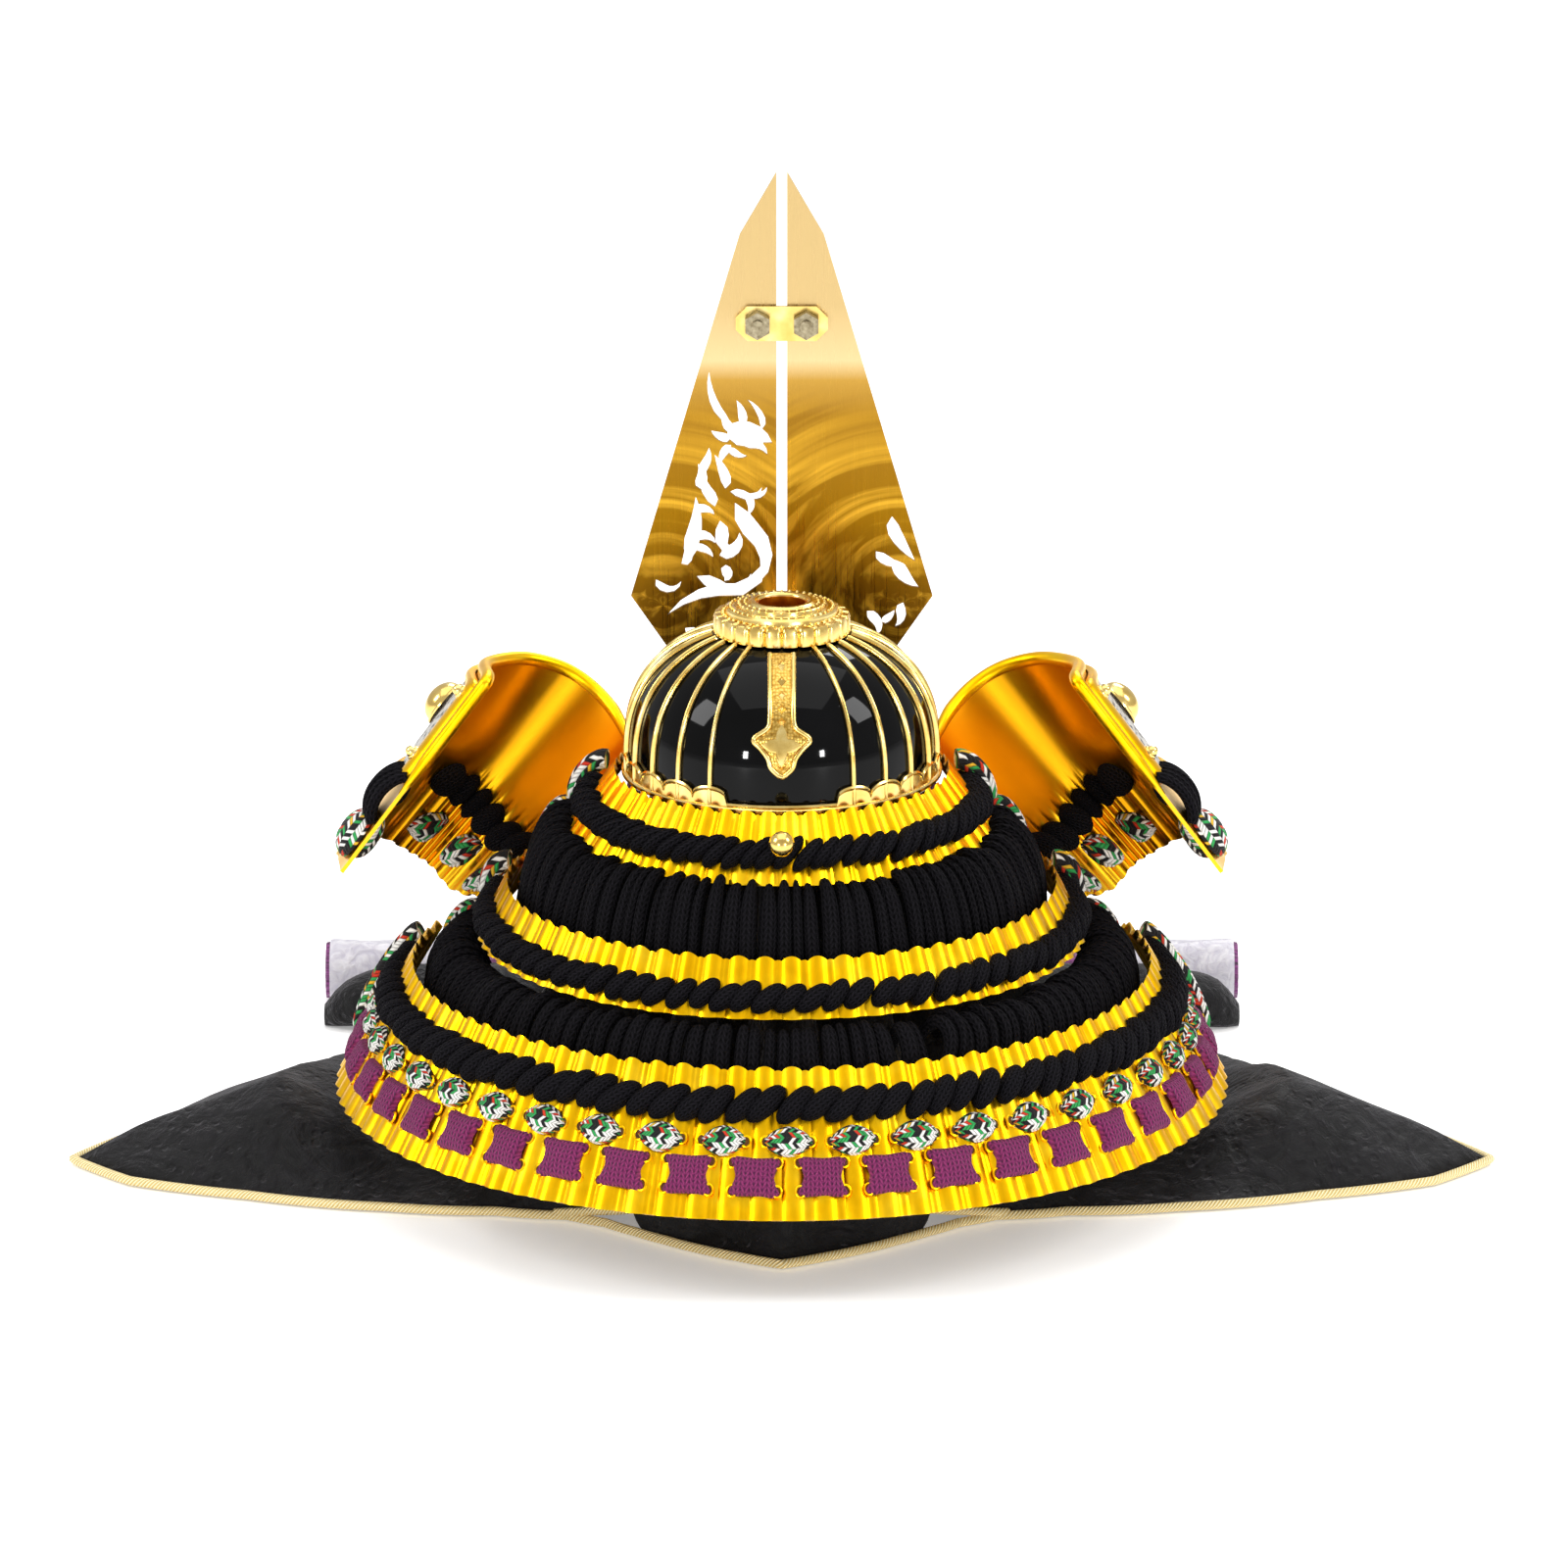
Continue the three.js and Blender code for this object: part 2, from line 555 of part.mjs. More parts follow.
// Point on a lame: `down` mm below its top edge along the slope, `out` mm off its outer face
function lamePoint(lame, down, out) {
  const slope = Math.hypot(lame.rBottom - lame.rTop, lame.zTop - lame.zBottom);
  const alongR = (lame.rBottom - lame.rTop) / slope;
  const alongZ = (lame.zBottom - lame.zTop) / slope;
  return [lame.rTop + alongR * down - alongZ * out, lame.zTop + alongZ * down + alongR * out];
}

const lameSlope = (lame) => Math.hypot(lame.rBottom - lame.rTop, lame.zTop - lame.zBottom);

// Zigzag of +-SCALE_DEPTH / 2 along the lame, one tooth for every two steps
function neckLame(lame) {
  const azimuths = evenly(-lame.span, lame.span, lame.scales);
  const bottom = lameSlope(lame);
  return sweepRound(azimuths, (azimuth) => {
    const step = Math.round(((azimuth + lame.span) / (2 * lame.span)) * lame.scales);
    const tooth = (step % 2 ? -0.5 : 0.5) * SCALE_DEPTH;
    return [
      lamePoint(lame, 0, tooth), lamePoint(lame, bottom, tooth),
      lamePoint(lame, bottom, tooth - LAME_WALL), lamePoint(lame, 0, tooth - LAME_WALL),
    ];
  });
}

// Half-round rope on a lame, swollen at each twist
function rope({ lame, down, width, height, twists }) {
  const band = LAMES[lame];
  const base = SCALE_DEPTH / 2 + GAP;
  const azimuths = evenly(-ROPE_SPAN, ROPE_SPAN, twists);
  return sweepRound(azimuths, (azimuth) => {
    const step = Math.round(((azimuth + ROPE_SPAN) / (2 * ROPE_SPAN)) * twists);
    const swell = step % 2 ? 1 : 0.82;
    return [
      lamePoint(band, down - (width / 2) * swell, base),
      lamePoint(band, down - width * 0.26 * swell, base + height * swell),
      lamePoint(band, down + width * 0.26 * swell, base + height * swell),
      lamePoint(band, down + (width / 2) * swell, base),
    ];
  });
}

// Band of vertical cords: an (r, z) outline, pulled in between the cords
function lacing(outline, cords) {
  const azimuths = evenly(-ROPE_SPAN, ROPE_SPAN, cords);
  return sweepRound(azimuths, (azimuth) => {
    const step = Math.round(((azimuth + ROPE_SPAN) / (2 * ROPE_SPAN)) * cords);
    const pull = step % 2 ? 0.6 : 0;
    return outline.map(([r, z, moves]) => [r - pull * moves, z - pull * moves]);
  });
}

const LACING_1 = [
  // radius, height, 1 where the cords' relief shows
  [48.3, 80.0, 0], [49.4, 82.2, 1], [56.8, 76.6, 1], [60.5, 69.0, 1],
  [60.5, 61.5, 0], [58.4, 61.5, 0],
];
const LACING_2 = [
  [69.0, 55.6, 0], [70.4, 58.2, 1], [77.0, 56.8, 1], [81.9, 51.0, 1],
  [82.2, 42.5, 0], [80.0, 42.5, 0],
];

// Row of flat stitches on a thin backing strip, on the lowest lame
function stitchRow({ down, height, relief, count, first }) {
  const lame = LAMES[2];
  const base = SCALE_DEPTH / 2 + GAP;
  const azimuths = evenly(0, count - 1, count - 1)
    .flatMap((k) => [first + k * STITCH_PITCH, first + (k + 0.5) * STITCH_PITCH]).slice(0, -1);
  return sweepRound(azimuths, (azimuth) => {
    const raised = Math.round((2 * (azimuth - first)) / STITCH_PITCH) % 2 === 0;
    const out = base + (raised ? relief : 0.4);
    const tall = raised ? height / 2 : height / 4;
    return [
      lamePoint(lame, down - tall, base), lamePoint(lame, down - tall * 0.6, out),
      lamePoint(lame, down + tall * 0.6, out), lamePoint(lame, down + tall, base),
    ];
  });
}

for (const lame of LAMES) add(lame.name, neckLame(lame), yellowGold);
for (const row of ROPES) add(row.name, rope(row), blackCord);
add('lacing_1', lacing(LACING_1, 34), blackCord);
add('lacing_2', lacing(LACING_2, 40), blackCord);
add('stitches_mixed', stitchRow(STITCHES[0]), mixedCord);
add('stitches_purple', stitchRow(STITCHES[1]), purpleCord);

// Gold ball on the top rope, at the back
function knob() {
  const out = SCALE_DEPTH / 2 + ROPES[0].height + 2 * GAP + KNOB_RADIUS;
  const [r, z] = lamePoint(LAMES[0], ROPES[0].down + 0.8, out);
  return new THREE.SphereGeometry(KNOB_RADIUS, 10, 6).translate(0, -r, z);
}
add('rope_knob', knob(), paleGold);

// ---------------------------------------------------------------- turn-backs

const curveThrough = (points) => new THREE.CatmullRomCurve3(points, false, 'centripetal');
const turnbackTop = curveThrough(TURNBACK_COLUMNS.map((c) => new THREE.Vector3(c[0], c[1], c[2])));
const turnbackBottom = curveThrough(TURNBACK_COLUMNS.map((c) => new THREE.Vector3(c[3], c[4], c[5])));

// Point of the plate: u along it (0 at the lame, 1 at the free edge), v down it, `out` mm off its
// outer face along the face's normal
function turnbackPoint(u, v, out) {
  const at = (s, t) => turnbackTop.getPoint(s).lerp(turnbackBottom.getPoint(s), t);
  const before = Math.max(0, u - 0.02);
  const after = Math.min(1, u + 0.02);
  const along = at(after, v).sub(at(before, v));
  const down = turnbackBottom.getPoint(u).sub(turnbackTop.getPoint(u));
  const normal = new THREE.Vector3().crossVectors(along, down).normalize();
  return at(u, v).addScaledVector(normal, out);
}

// Curved slab of the plate's surface
function turnbackPatch(u0, u1, v0, v1, out0, out1, steps) {
  return loft(evenly(u0, u1, steps).map((u) => [
    turnbackPoint(u, v0, out0), turnbackPoint(u, v1, out0),
    turnbackPoint(u, v1, out1), turnbackPoint(u, v0, out1),
  ]));
}

const FACE = { u0: 0.714, u1: 0.985, v0: 0.04, v1: 0.58 };     // framed leather face
const FACE_LIFT = 0.55;               // clears the facets of the curved plate
const FRAME_U = 0.045;
const FRAME_V = 0.055;

function turnbackFrame() {
  const { u0, u1, v0, v1 } = FACE;
  const outer = turnbackPatch(u0, u1, v0, v1, FACE_LIFT, 1.8, 4);
  const inner = turnbackPatch(u0 + FRAME_U, u1 - FRAME_U, v0 + FRAME_V, v1 - FRAME_V, -1, 3, 4);
  return cut(outer, [inner]);
}

function turnbackLeather() {
  const { u0, u1, v0, v1 } = FACE;
  return turnbackPatch(u0 + FRAME_U + 0.012, u1 - FRAME_U - 0.012, v0 + FRAME_V + 0.008, v1 - FRAME_V - 0.008,
    FACE_LIFT, 1.3, 4);
}

// Domed button seated on the face at (u, v), standing on `base` mm
function button(u, v, base, radius, height, sides) {
  const foot = turnbackPoint(u, v, base);
  const normal = turnbackPoint(u, v, base + 1).sub(foot);
  const profile = [[0, 0], [radius, 0], [radius, height * 0.35], [radius * 0.7, height * 0.85], [0, height]]
    .map(([r, h]) => new THREE.Vector2(r, h));
  const dome = new THREE.LatheGeometry(profile, sides);
  const turn = new THREE.Quaternion().setFromUnitVectors(new THREE.Vector3(0, 1, 0), normal);
  return dome.applyQuaternion(turn).translate(foot.x, foot.y, foot.z);
}

// Ribbed pad of cord stitches along the lower part of the plate's inner side
function turnbackCords() {
  const inner = -(TURNBACK_WALL + FACE_LIFT);
  return loft(evenly(0.1, 0.66, 12).map((u, i) => [
    turnbackPoint(u, 0.63, inner), turnbackPoint(u, 0.88, inner),
    turnbackPoint(u, 0.86, inner - (i % 2 ? 2.2 : 1)), turnbackPoint(u, 0.66, inner - (i % 2 ? 2.2 : 1)),
  ]));
}

addPair('turnback', turnbackPatch(0, 1, 0, 1, -TURNBACK_WALL, 0, 14), yellowGold);
addPair('turnback_frame', turnbackFrame(), yellowGold);
addPair('turnback_leather', turnbackLeather(), printedLeather);
addPair('turnback_boss', button(0.85, 0.24, 1.7, 4.6, 3.4, 10), paleGold);
addPair('turnback_rivet_upper', button(0.962, 0.12, 2.2, 1.6, 1.8, 6), paleGold);
addPair('turnback_rivet_lower', button(0.962, 0.44, 2.2, 1.6, 1.8, 6), paleGold);
addPair('turnback_cords', turnbackCords(), blackCord);

// ---------------------------------------------------------------- stand and cloth

function standFoot() {
  return new THREE.CylinderGeometry(STAND_FOOT_RADIUS, STAND_FOOT_RADIUS, STAND_FOOT_HEIGHT, 28)
    .rotateX(Math.PI / 2)
    .translate(0, 0, STAND_FOOT_HEIGHT / 2);
}

function standPost() {
  const bottom = STAND_FOOT_HEIGHT + GAP;
  const profile = [[0, bottom], [STAND_POST_RADIUS, bottom], [STAND_POST_RADIUS, 106], [12, 112],
    [12.6, 118], [10, STAND_TOP_Z], [0, STAND_TOP_Z]];
  return new THREE.LatheGeometry(profile.map(([r, z]) => new THREE.Vector2(r, z)), 14).rotateX(Math.PI / 2);
}

const hemReach = (azimuth) => tableAt(HEM, Math.abs(azimuth));

const between = (value) => Math.max(0, Math.min(1, value));
const smooth = (value) => between(value) ** 2 * (3 - 2 * between(value));

// Height of the cloth's upper face. Near the hem it lies on the floor; its side lobes stand up
// in a soft ridge past the lowest lame
function clothHeight(r, azimuth) {
  const hem = hemReach(azimuth);
  const onFloor = CLOTH_WALL + FLOOR_GAP;
  const tentEnd = TENT[TENT.length - 1];
  if (r <= tentEnd[0]) {
    const ripple = r > 20 ? 1.6 * Math.cos(rad(azimuth * 9)) : 0;
    return Math.max(onFloor, tableAt(TENT, r) + ripple);
  }
  const run = Math.min(1, (r - tentEnd[0]) / Math.max(1, hem - tentEnd[0]));
  const turn = Math.abs(azimuth);
  const lobe = smooth((turn - LOBE.from) / LOBE.fade) * smooth((LOBE.to - turn) / LOBE.fade);
  const ridge = LOBE.rise * lobe * between((r - LOBE.startRadius) / LOBE.fade) * (1 - run ** 3);
  return onFloor + (tentEnd[1] - onFloor) * (1 - run) ** 2.4 + ridge;
}

const CLOTH_RADII = [10, 14.5, 24, 45];

function displayCloth() {
  const side = HEM.map((row) => row[0]);
  const azimuths = [...side.slice(1).reverse().map((azimuth) => -azimuth), ...side.slice(0, -1)];
  const ringRadii = (azimuth) => {
    const hem = hemReach(azimuth);
    const last = CLOTH_RADII[CLOTH_RADII.length - 1];
    return [...CLOTH_RADII, ...[0.3, 0.65, 1].map((part) => last + (hem - last) * part)];
  };
  const rings = ringRadii(0).length;
  const positions = [0, 0, CLOTH_TOP_Z, 0, 0, CLOTH_TOP_Z - CLOTH_WALL];
  for (const azimuth of azimuths) {
    ringRadii(azimuth).forEach((r) => {
      const top = r <= 10 ? CLOTH_TOP_Z : clothHeight(r, azimuth);
      const steep = r > 14 && r < 50 ? 2.1 : 1;
      const upper = polar(r, azimuth, top);
      const lower = polar(r, azimuth, Math.max(FLOOR_GAP, top - CLOTH_WALL * steep));
      positions.push(upper.x, upper.y, upper.z, lower.x, lower.y, lower.z);
    });
  }
  const index = [];
  const vertex = (a, ring, lower) => 2 + 2 * ((a % azimuths.length) * rings + ring) + lower;
  for (let a = 0; a < azimuths.length; a++) {
    index.push(0, vertex(a, 0, 0), vertex(a + 1, 0, 0));
    index.push(1, vertex(a + 1, 0, 1), vertex(a, 0, 1));
    for (let ring = 0; ring < rings - 1; ring++) {
      const [p, q] = [vertex(a, ring, 0), vertex(a, ring + 1, 0)];
      const [r, s] = [vertex(a + 1, ring + 1, 0), vertex(a + 1, ring, 0)];
      index.push(p, q, r, p, r, s);
      index.push(p + 1, r + 1, q + 1, p + 1, s + 1, r + 1);
    }
    const [edge, nextEdge] = [vertex(a, rings - 1, 0), vertex(a + 1, rings - 1, 0)];
    index.push(edge, edge + 1, nextEdge + 1, edge, nextEdge + 1, nextEdge);
  }
  return joined([indexedGeometry(positions, index), clothRoll()]);
}

// Far part of the cloth, folded under into a soft roll
function clothRoll() {
  // across the roll, height, as shares of its half depth and height
  const section = [[-1, 0.05], [-0.85, 0.75], [-0.3, 1], [0.4, 0.96], [0.9, 0.6], [1, 0.05]];
  // along the roll, size of the section there
  const levels = [[-1, 0.12], [-0.96, 0.55], [-0.86, 0.9], [0, 1], [0.86, 0.9], [0.96, 0.55], [1, 0.12]];
  return loft(levels.map(([along, size]) => section.map(([across, up]) => new THREE.Vector3(
    along * ROLL_HALF_LENGTH,
    ROLL_Y + across * ROLL_HALF_DEPTH * size,
    FLOOR_GAP + (ROLL_HEIGHT - FLOOR_GAP) * up * size))));
}

// Gold cord sewn along the hem, as far round as the hem lies open on the floor
function clothPiping() {
  const side = HEM.map((row) => row[0]).filter((azimuth) => azimuth <= PIPING_SPAN);
  const azimuths = [...side.slice(1).reverse().map((azimuth) => -azimuth), ...side];
  return sweepRound(azimuths, (azimuth) => {
    const inner = hemReach(azimuth) + 2 * GAP;
    const outer = inner + 2 * PIPING_RADIUS;
    const top = FLOOR_GAP + 2 * PIPING_RADIUS;
    return [[inner, FLOOR_GAP], [outer, FLOOR_GAP], [outer, top], [inner, top]];
  });
}

add('stand_foot', standFoot(), wood);
add('stand_post', standPost(), wood);
add('display_cloth', displayCloth(), blackPlush);
add('cloth_piping', clothPiping(), goldPiping);

// ---------------------------------------------------------------- chin cord and tassels

const RISER_ROUTE = [
  // x, y, z from the bowl's rim to the knot
  [31, 14, 90], [33, 24, 82], [36, 38, 66], [38, 54, 46], [37, 70, 32], [33, 86, 24],
  [27, 100, 20.5], [21, 112, 19], [15.5, 122, 12.5], [9.5, 130, 7.5],
];
const TAIL_ROUTE = [
  // x, y, z from the knot to the tassel
  [7.5, 134, 4.5], [16, 137, 2.9], [28, 138, 2.9], [42, 134, 2.9], [52, 130, 4.5], [60, 128.2, 6.6],
];

function knot() {
  return new THREE.SphereGeometry(1, 10, 8).scale(6.8, 5.4, 5.2).translate(...KNOT_CENTRE);
}

function tassel() {
  const start = TASSEL_END_X - TASSEL_LENGTH;
  const profile = [[0, 0], [3.4, 0.2], [4.6, 4], [4.2, 8], [6, 12], [TASSEL_RADIUS, 20], [TASSEL_RADIUS, 44],
    [6.2, TASSEL_LENGTH], [0, TASSEL_LENGTH]].map(([r, along]) => new THREE.Vector2(r, along));
  return new THREE.LatheGeometry(profile, 10)
    .rotateZ(-Math.PI / 2)
    .translate(start, TASSEL_Y, TASSEL_RADIUS);
}

addPair('chin_riser', tube(RISER_ROUTE, CORD_RADIUS, 8, 12), purpleCord);
addPair('chin_tail', tube(TAIL_ROUTE, CORD_RADIUS, 8, 7), purpleCord);
add('chin_knot', knot(), purpleCord);
addPair('tassel', tassel(), purpleCord);

export default kabuto;
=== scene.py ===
import math
import random

import bmesh
import bpy
from mathutils import Matrix, Vector, noise


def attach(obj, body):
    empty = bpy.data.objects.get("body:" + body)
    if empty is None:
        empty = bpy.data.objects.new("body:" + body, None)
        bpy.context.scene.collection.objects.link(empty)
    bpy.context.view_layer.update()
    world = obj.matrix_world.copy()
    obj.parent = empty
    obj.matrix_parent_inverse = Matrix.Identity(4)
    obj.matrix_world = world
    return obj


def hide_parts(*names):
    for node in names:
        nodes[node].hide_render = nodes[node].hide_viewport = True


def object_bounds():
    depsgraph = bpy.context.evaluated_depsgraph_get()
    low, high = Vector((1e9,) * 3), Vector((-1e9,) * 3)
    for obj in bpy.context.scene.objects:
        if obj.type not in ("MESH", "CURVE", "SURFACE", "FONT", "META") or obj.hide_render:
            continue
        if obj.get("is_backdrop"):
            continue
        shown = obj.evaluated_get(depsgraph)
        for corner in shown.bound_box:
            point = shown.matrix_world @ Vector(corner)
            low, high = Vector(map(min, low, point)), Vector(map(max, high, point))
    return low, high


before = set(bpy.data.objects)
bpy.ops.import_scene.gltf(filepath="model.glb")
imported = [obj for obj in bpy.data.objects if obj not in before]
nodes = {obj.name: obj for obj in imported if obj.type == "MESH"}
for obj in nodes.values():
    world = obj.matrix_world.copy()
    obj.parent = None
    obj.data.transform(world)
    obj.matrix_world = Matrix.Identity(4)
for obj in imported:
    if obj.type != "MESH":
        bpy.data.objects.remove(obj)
cad_box = [list(corner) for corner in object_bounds()]

# ---- Studio
# The helmet stands with its back to the camera on a white table, under one broad lamp overhead
# and small window-like lamps beside the camera. None of this is part of the object.

MM = 0.001
VIEW_TARGET = Vector((0.0005, 0, 0.090))
VIEW_ELEVATION = math.radians(16)
VIEW_DISTANCE = 2.2
LAMP_TARGET = Vector((0, 0, 0.1))
AIR_STRENGTH, TABLE_RADIUS, TABLE_GLOW = 0.62, 9, 0.27

bpy.context.scene.view_settings.view_transform = "Standard"

camera = bpy.data.objects.new("camera", bpy.data.cameras.new("camera"))
bpy.context.scene.collection.objects.link(camera)
bpy.context.scene.camera = camera
camera.data.lens, camera.data.sensor_width = 225, 36
towards_camera = Vector((0, -math.cos(VIEW_ELEVATION), math.sin(VIEW_ELEVATION)))
camera.location = VIEW_TARGET + VIEW_DISTANCE * towards_camera
camera.rotation_euler = (VIEW_TARGET - camera.location).to_track_quat("-Z", "Y").to_euler()


def lamp(name, azimuth, elevation, distance, size, power):
    """Rectangular area lamp that faces the helmet, in degrees, metres and watts; azimuth 0 is the
    camera's side and 90 its right."""
    a, e = math.radians(azimuth), math.radians(elevation)
    away = Vector((math.sin(a) * math.cos(e), -math.cos(a) * math.cos(e), math.sin(e)))
    light = bpy.data.lights.new(name, "AREA")
    light.shape, light.size, light.size_y, light.energy = "RECTANGLE", *size, power
    made = bpy.data.objects.new(name, light)
    made.location = LAMP_TARGET + away * distance
    made.rotation_euler = (-away).to_track_quat("-Z", "Y").to_euler()
    bpy.context.scene.collection.objects.link(made)


lamp("lamp_overhead", 0, 88, 2.0, (2.2, 2.2), 20)
lamp("lamp_left", -27, 7, 1.9, (0.11, 0.19), 8)
lamp("lamp_right", 30, 8, 1.9, (0.11, 0.19), 8)
lamp("lamp_side_left", -75, 35, 1.8, (0.5, 0.7), 12)
lamp("lamp_side_right", 75, 38, 1.8, (0.5, 0.7), 12)
lamp("lamp_front", 165, 40, 2.0, (0.8, 0.6), 14)

world = bpy.data.worlds.new("studio_air")
world.use_nodes = True
air = world.node_tree.nodes["Background"].inputs
air["Color"].default_value = (1, 1, 1, 1)
air["Strength"].default_value = AIR_STRENGTH
bpy.context.scene.world = world


def node(tree, kind, feeds=(), **settings):
    """Shader node with its settings and its inputs, each a value or the output that feeds it."""
    made = tree.nodes.new("ShaderNode" + kind)
    for key, value in settings.items():
        setattr(made, key, value)
    for key, value in dict(feeds).items():
        if isinstance(value, bpy.types.NodeSocket):
            tree.links.new(value, made.inputs[key])
        else:
            made.inputs[key].default_value = value
    return made


def rgb(code):
    """Linear colour of a hex sRGB code."""
    parts = [int(code[i:i + 2], 16) / 255 for i in (0, 2, 4)]
    return (*[p / 12.92 if p <= 0.04045 else ((p + 0.055) / 1.055) ** 2.4 for p in parts], 1)


def finish(name, colour, roughness, metallic=0.0, **sockets):
    """Material with a Principled shader; sockets are further inputs, written with underscores."""
    made = bpy.data.materials.new(name)
    made.use_nodes = True
    shader = made.node_tree.nodes["Principled BSDF"].inputs
    shader["Base Color"].default_value = rgb(colour)
    shader["Roughness"].default_value = roughness
    shader["Metallic"].default_value = metallic
    for key, value in sockets.items():
        shader[key.replace("_", " ")].default_value = value
    return made


def feed(material, socket, output):
    material.node_tree.links.new(output, material.node_tree.nodes["Principled BSDF"].inputs[socket])


def place(tree):
    return tree.nodes.new("ShaderNodeTexCoord").outputs["Object"]


def maths(tree, operation, first, second=0.5, third=0.5):
    """Math node on sockets or numbers."""
    return node(tree, "Math", {0: first, 1: second, 2: third}, operation=operation).outputs[0]


def grain(tree, where, scale, detail=3.0, rough=0.55, warp=0.0):
    """Noise in lumps of 1/scale metres."""
    return node(tree, "TexNoise", {"Vector": where, "Scale": scale, "Detail": detail, "Roughness": rough,
                                   "Distortion": warp}).outputs["Fac"]


def ramp(tree, factor, *stops):
    """Colour ramp through (position, hex colour) stops."""
    made = node(tree, "ValToRGB", {"Fac": factor})
    elements = made.color_ramp.elements
    while len(elements) < len(stops):
        elements.new(0.5)
    for element, (at, colour) in zip(elements, stops):
        element.position, element.color = at, rgb(colour)
    return made.outputs["Color"]


def spread(tree, factor, low, high, low_in=0.3, high_in=0.7):
    """A number from low to high as factor runs over its usual range."""
    return node(tree, "MapRange", {"Value": factor, "From Min": low_in, "From Max": high_in,
                                   "To Min": low, "To Max": high}).outputs[0]


def bump(material, height, distance, strength=1.0, under=None):
    """Bump of distance mm under the shader; under is an earlier bump's normal."""
    feeds = {"Height": height, "Distance": distance * MM, "Strength": strength}
    if under is not None:
        feeds["Normal"] = under
    made = node(material.node_tree, "Bump", feeds).outputs["Normal"]
    feed(material, "Normal", made)
    return made


table_white = finish("table_white", "F4F4F4", 0.6, Emission_Color=(1, 0.995, 0.985, 1),
                     Emission_Strength=TABLE_GLOW)
tree = table_white.node_tree
feed(table_white, "Base Color", ramp(tree, grain(tree, place(tree), 2), (0.3, "F2F2F2"), (0.7, "F7F7F7")))
bm = bmesh.new()
bmesh.ops.create_circle(bm, cap_ends=True, segments=64, radius=TABLE_RADIUS)
table_mesh = bpy.data.meshes.new("table")
bm.to_mesh(table_mesh)
table = bpy.data.objects.new("table", table_mesh)
table.data.materials.append(table_white)
bpy.context.scene.collection.objects.link(table)
table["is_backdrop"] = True

# ---- Chin cord
# A round kumihimo-style braid of purple silk. It leaves the bowl's rim on each side, hangs down the
# front of the cloth, is knotted under the chin's place and ends in a tassel on each side.


def polar(r, azimuth, z):
    """Point at radius r, azimuth in degrees from the back, positive towards +X, and height z."""
    a = math.radians(azimuth)
    return Vector((r * math.sin(a), -r * math.cos(a), z))


def evenly(start, stop, steps):
    return [start + (stop - start) * i / steps for i in range(steps + 1)]


def turns_of(count):
    """Angles once round in radians, count of them."""
    return [2 * math.pi * k / count for k in range(count)]


def rope_line(points, steps):
    """Smooth line through points, in even steps."""
    parts = 8
    points = [Vector(p) for p in points]
    ends = [2 * points[0] - points[1], *points, 2 * points[-1] - points[-2]]
    line = []
    for a, b, c, d in zip(ends, ends[1:], ends[2:], ends[3:]):
        for i in range(parts):
            t = i / parts
            line.append(0.5 * (2 * b + (c - a) * t + (2 * a - 5 * b + 4 * c - d) * t ** 2
                               + (3 * b - a - 3 * c + d) * t ** 3))
    line.append(points[-1])
    lengths = [0.0]
    for p, q in zip(line, line[1:]):
        lengths.append(lengths[-1] + (q - p).length)
    result, k = [], 0
    for at in evenly(0, lengths[-1], steps):
        while k < len(line) - 2 and lengths[k + 1] < at:
            k += 1
        share = (at - lengths[k]) / max(1e-9, lengths[k + 1] - lengths[k])
        result.append(line[k].lerp(line[k + 1], min(1, share)))
    return result


def loft(rows, ring=False, closed=False, capped=False):
    """Skin over rows of points: the first row is a chain of edges, and each further row is extruded
    from the one before. ring joins a row's ends, closed joins the last row to the first. Its UV map
    holds millimetres along the rows and across them."""
    bm = bmesh.new()
    count = len(rows[0])
    verts = [bm.verts.new(p) for p in rows[0]]
    pairs = [(i, i + 1) for i in range(count - 1)] + ([(count - 1, 0)] if ring else [])
    edges = [bm.edges.new((verts[i], verts[j])) for i, j in pairs]
    start = list(edges)
    for row in rows[1:]:
        made = bmesh.ops.extrude_edge_only(bm, edges=edges)["geom"]
        fresh = {v for v in made if isinstance(v, bmesh.types.BMVert)}
        verts = [next(e.other_vert(v) for e in v.link_edges if e.other_vert(v) in fresh) for v in verts]
        for v, p in zip(verts, row):
            v.co = p
        edges = [bm.edges.get((verts[i], verts[j])) for i, j in pairs]
    if closed:
        bmesh.ops.bridge_loops(bm, edges=start + edges)
    if capped:
        bmesh.ops.contextual_create(bm, geom=start)
        bmesh.ops.contextual_create(bm, geom=edges)
    middle = rows[len(rows) // 2]
    across, along = [0.0], [0.0]
    for i in range(count):
        across.append(across[-1] + (Vector(middle[(i + 1) % count]) - Vector(middle[i])).length)
    for here, after in zip(rows, rows[1:] + rows[:1]):
        along.append(along[-1] + (Vector(after[count // 2]) - Vector(here[count // 2])).length)
    uv = bm.loops.layers.uv.new("UVMap")
    bm.verts.index_update()
    for face in bm.faces:
        places = [divmod(loop.vert.index, count) for loop in face.loops]
        wraps_row = ring and {0, count - 1} <= {c for _, c in places}
        wraps_all = closed and {0, len(rows) - 1} <= {r for r, _ in places}
        for loop, (r, c) in zip(face.loops, places):
            c = count if wraps_row and c == 0 else c
            r = len(rows) if wraps_all and r == 0 else r
            loop[uv].uv = (along[r], across[c])
    return bm


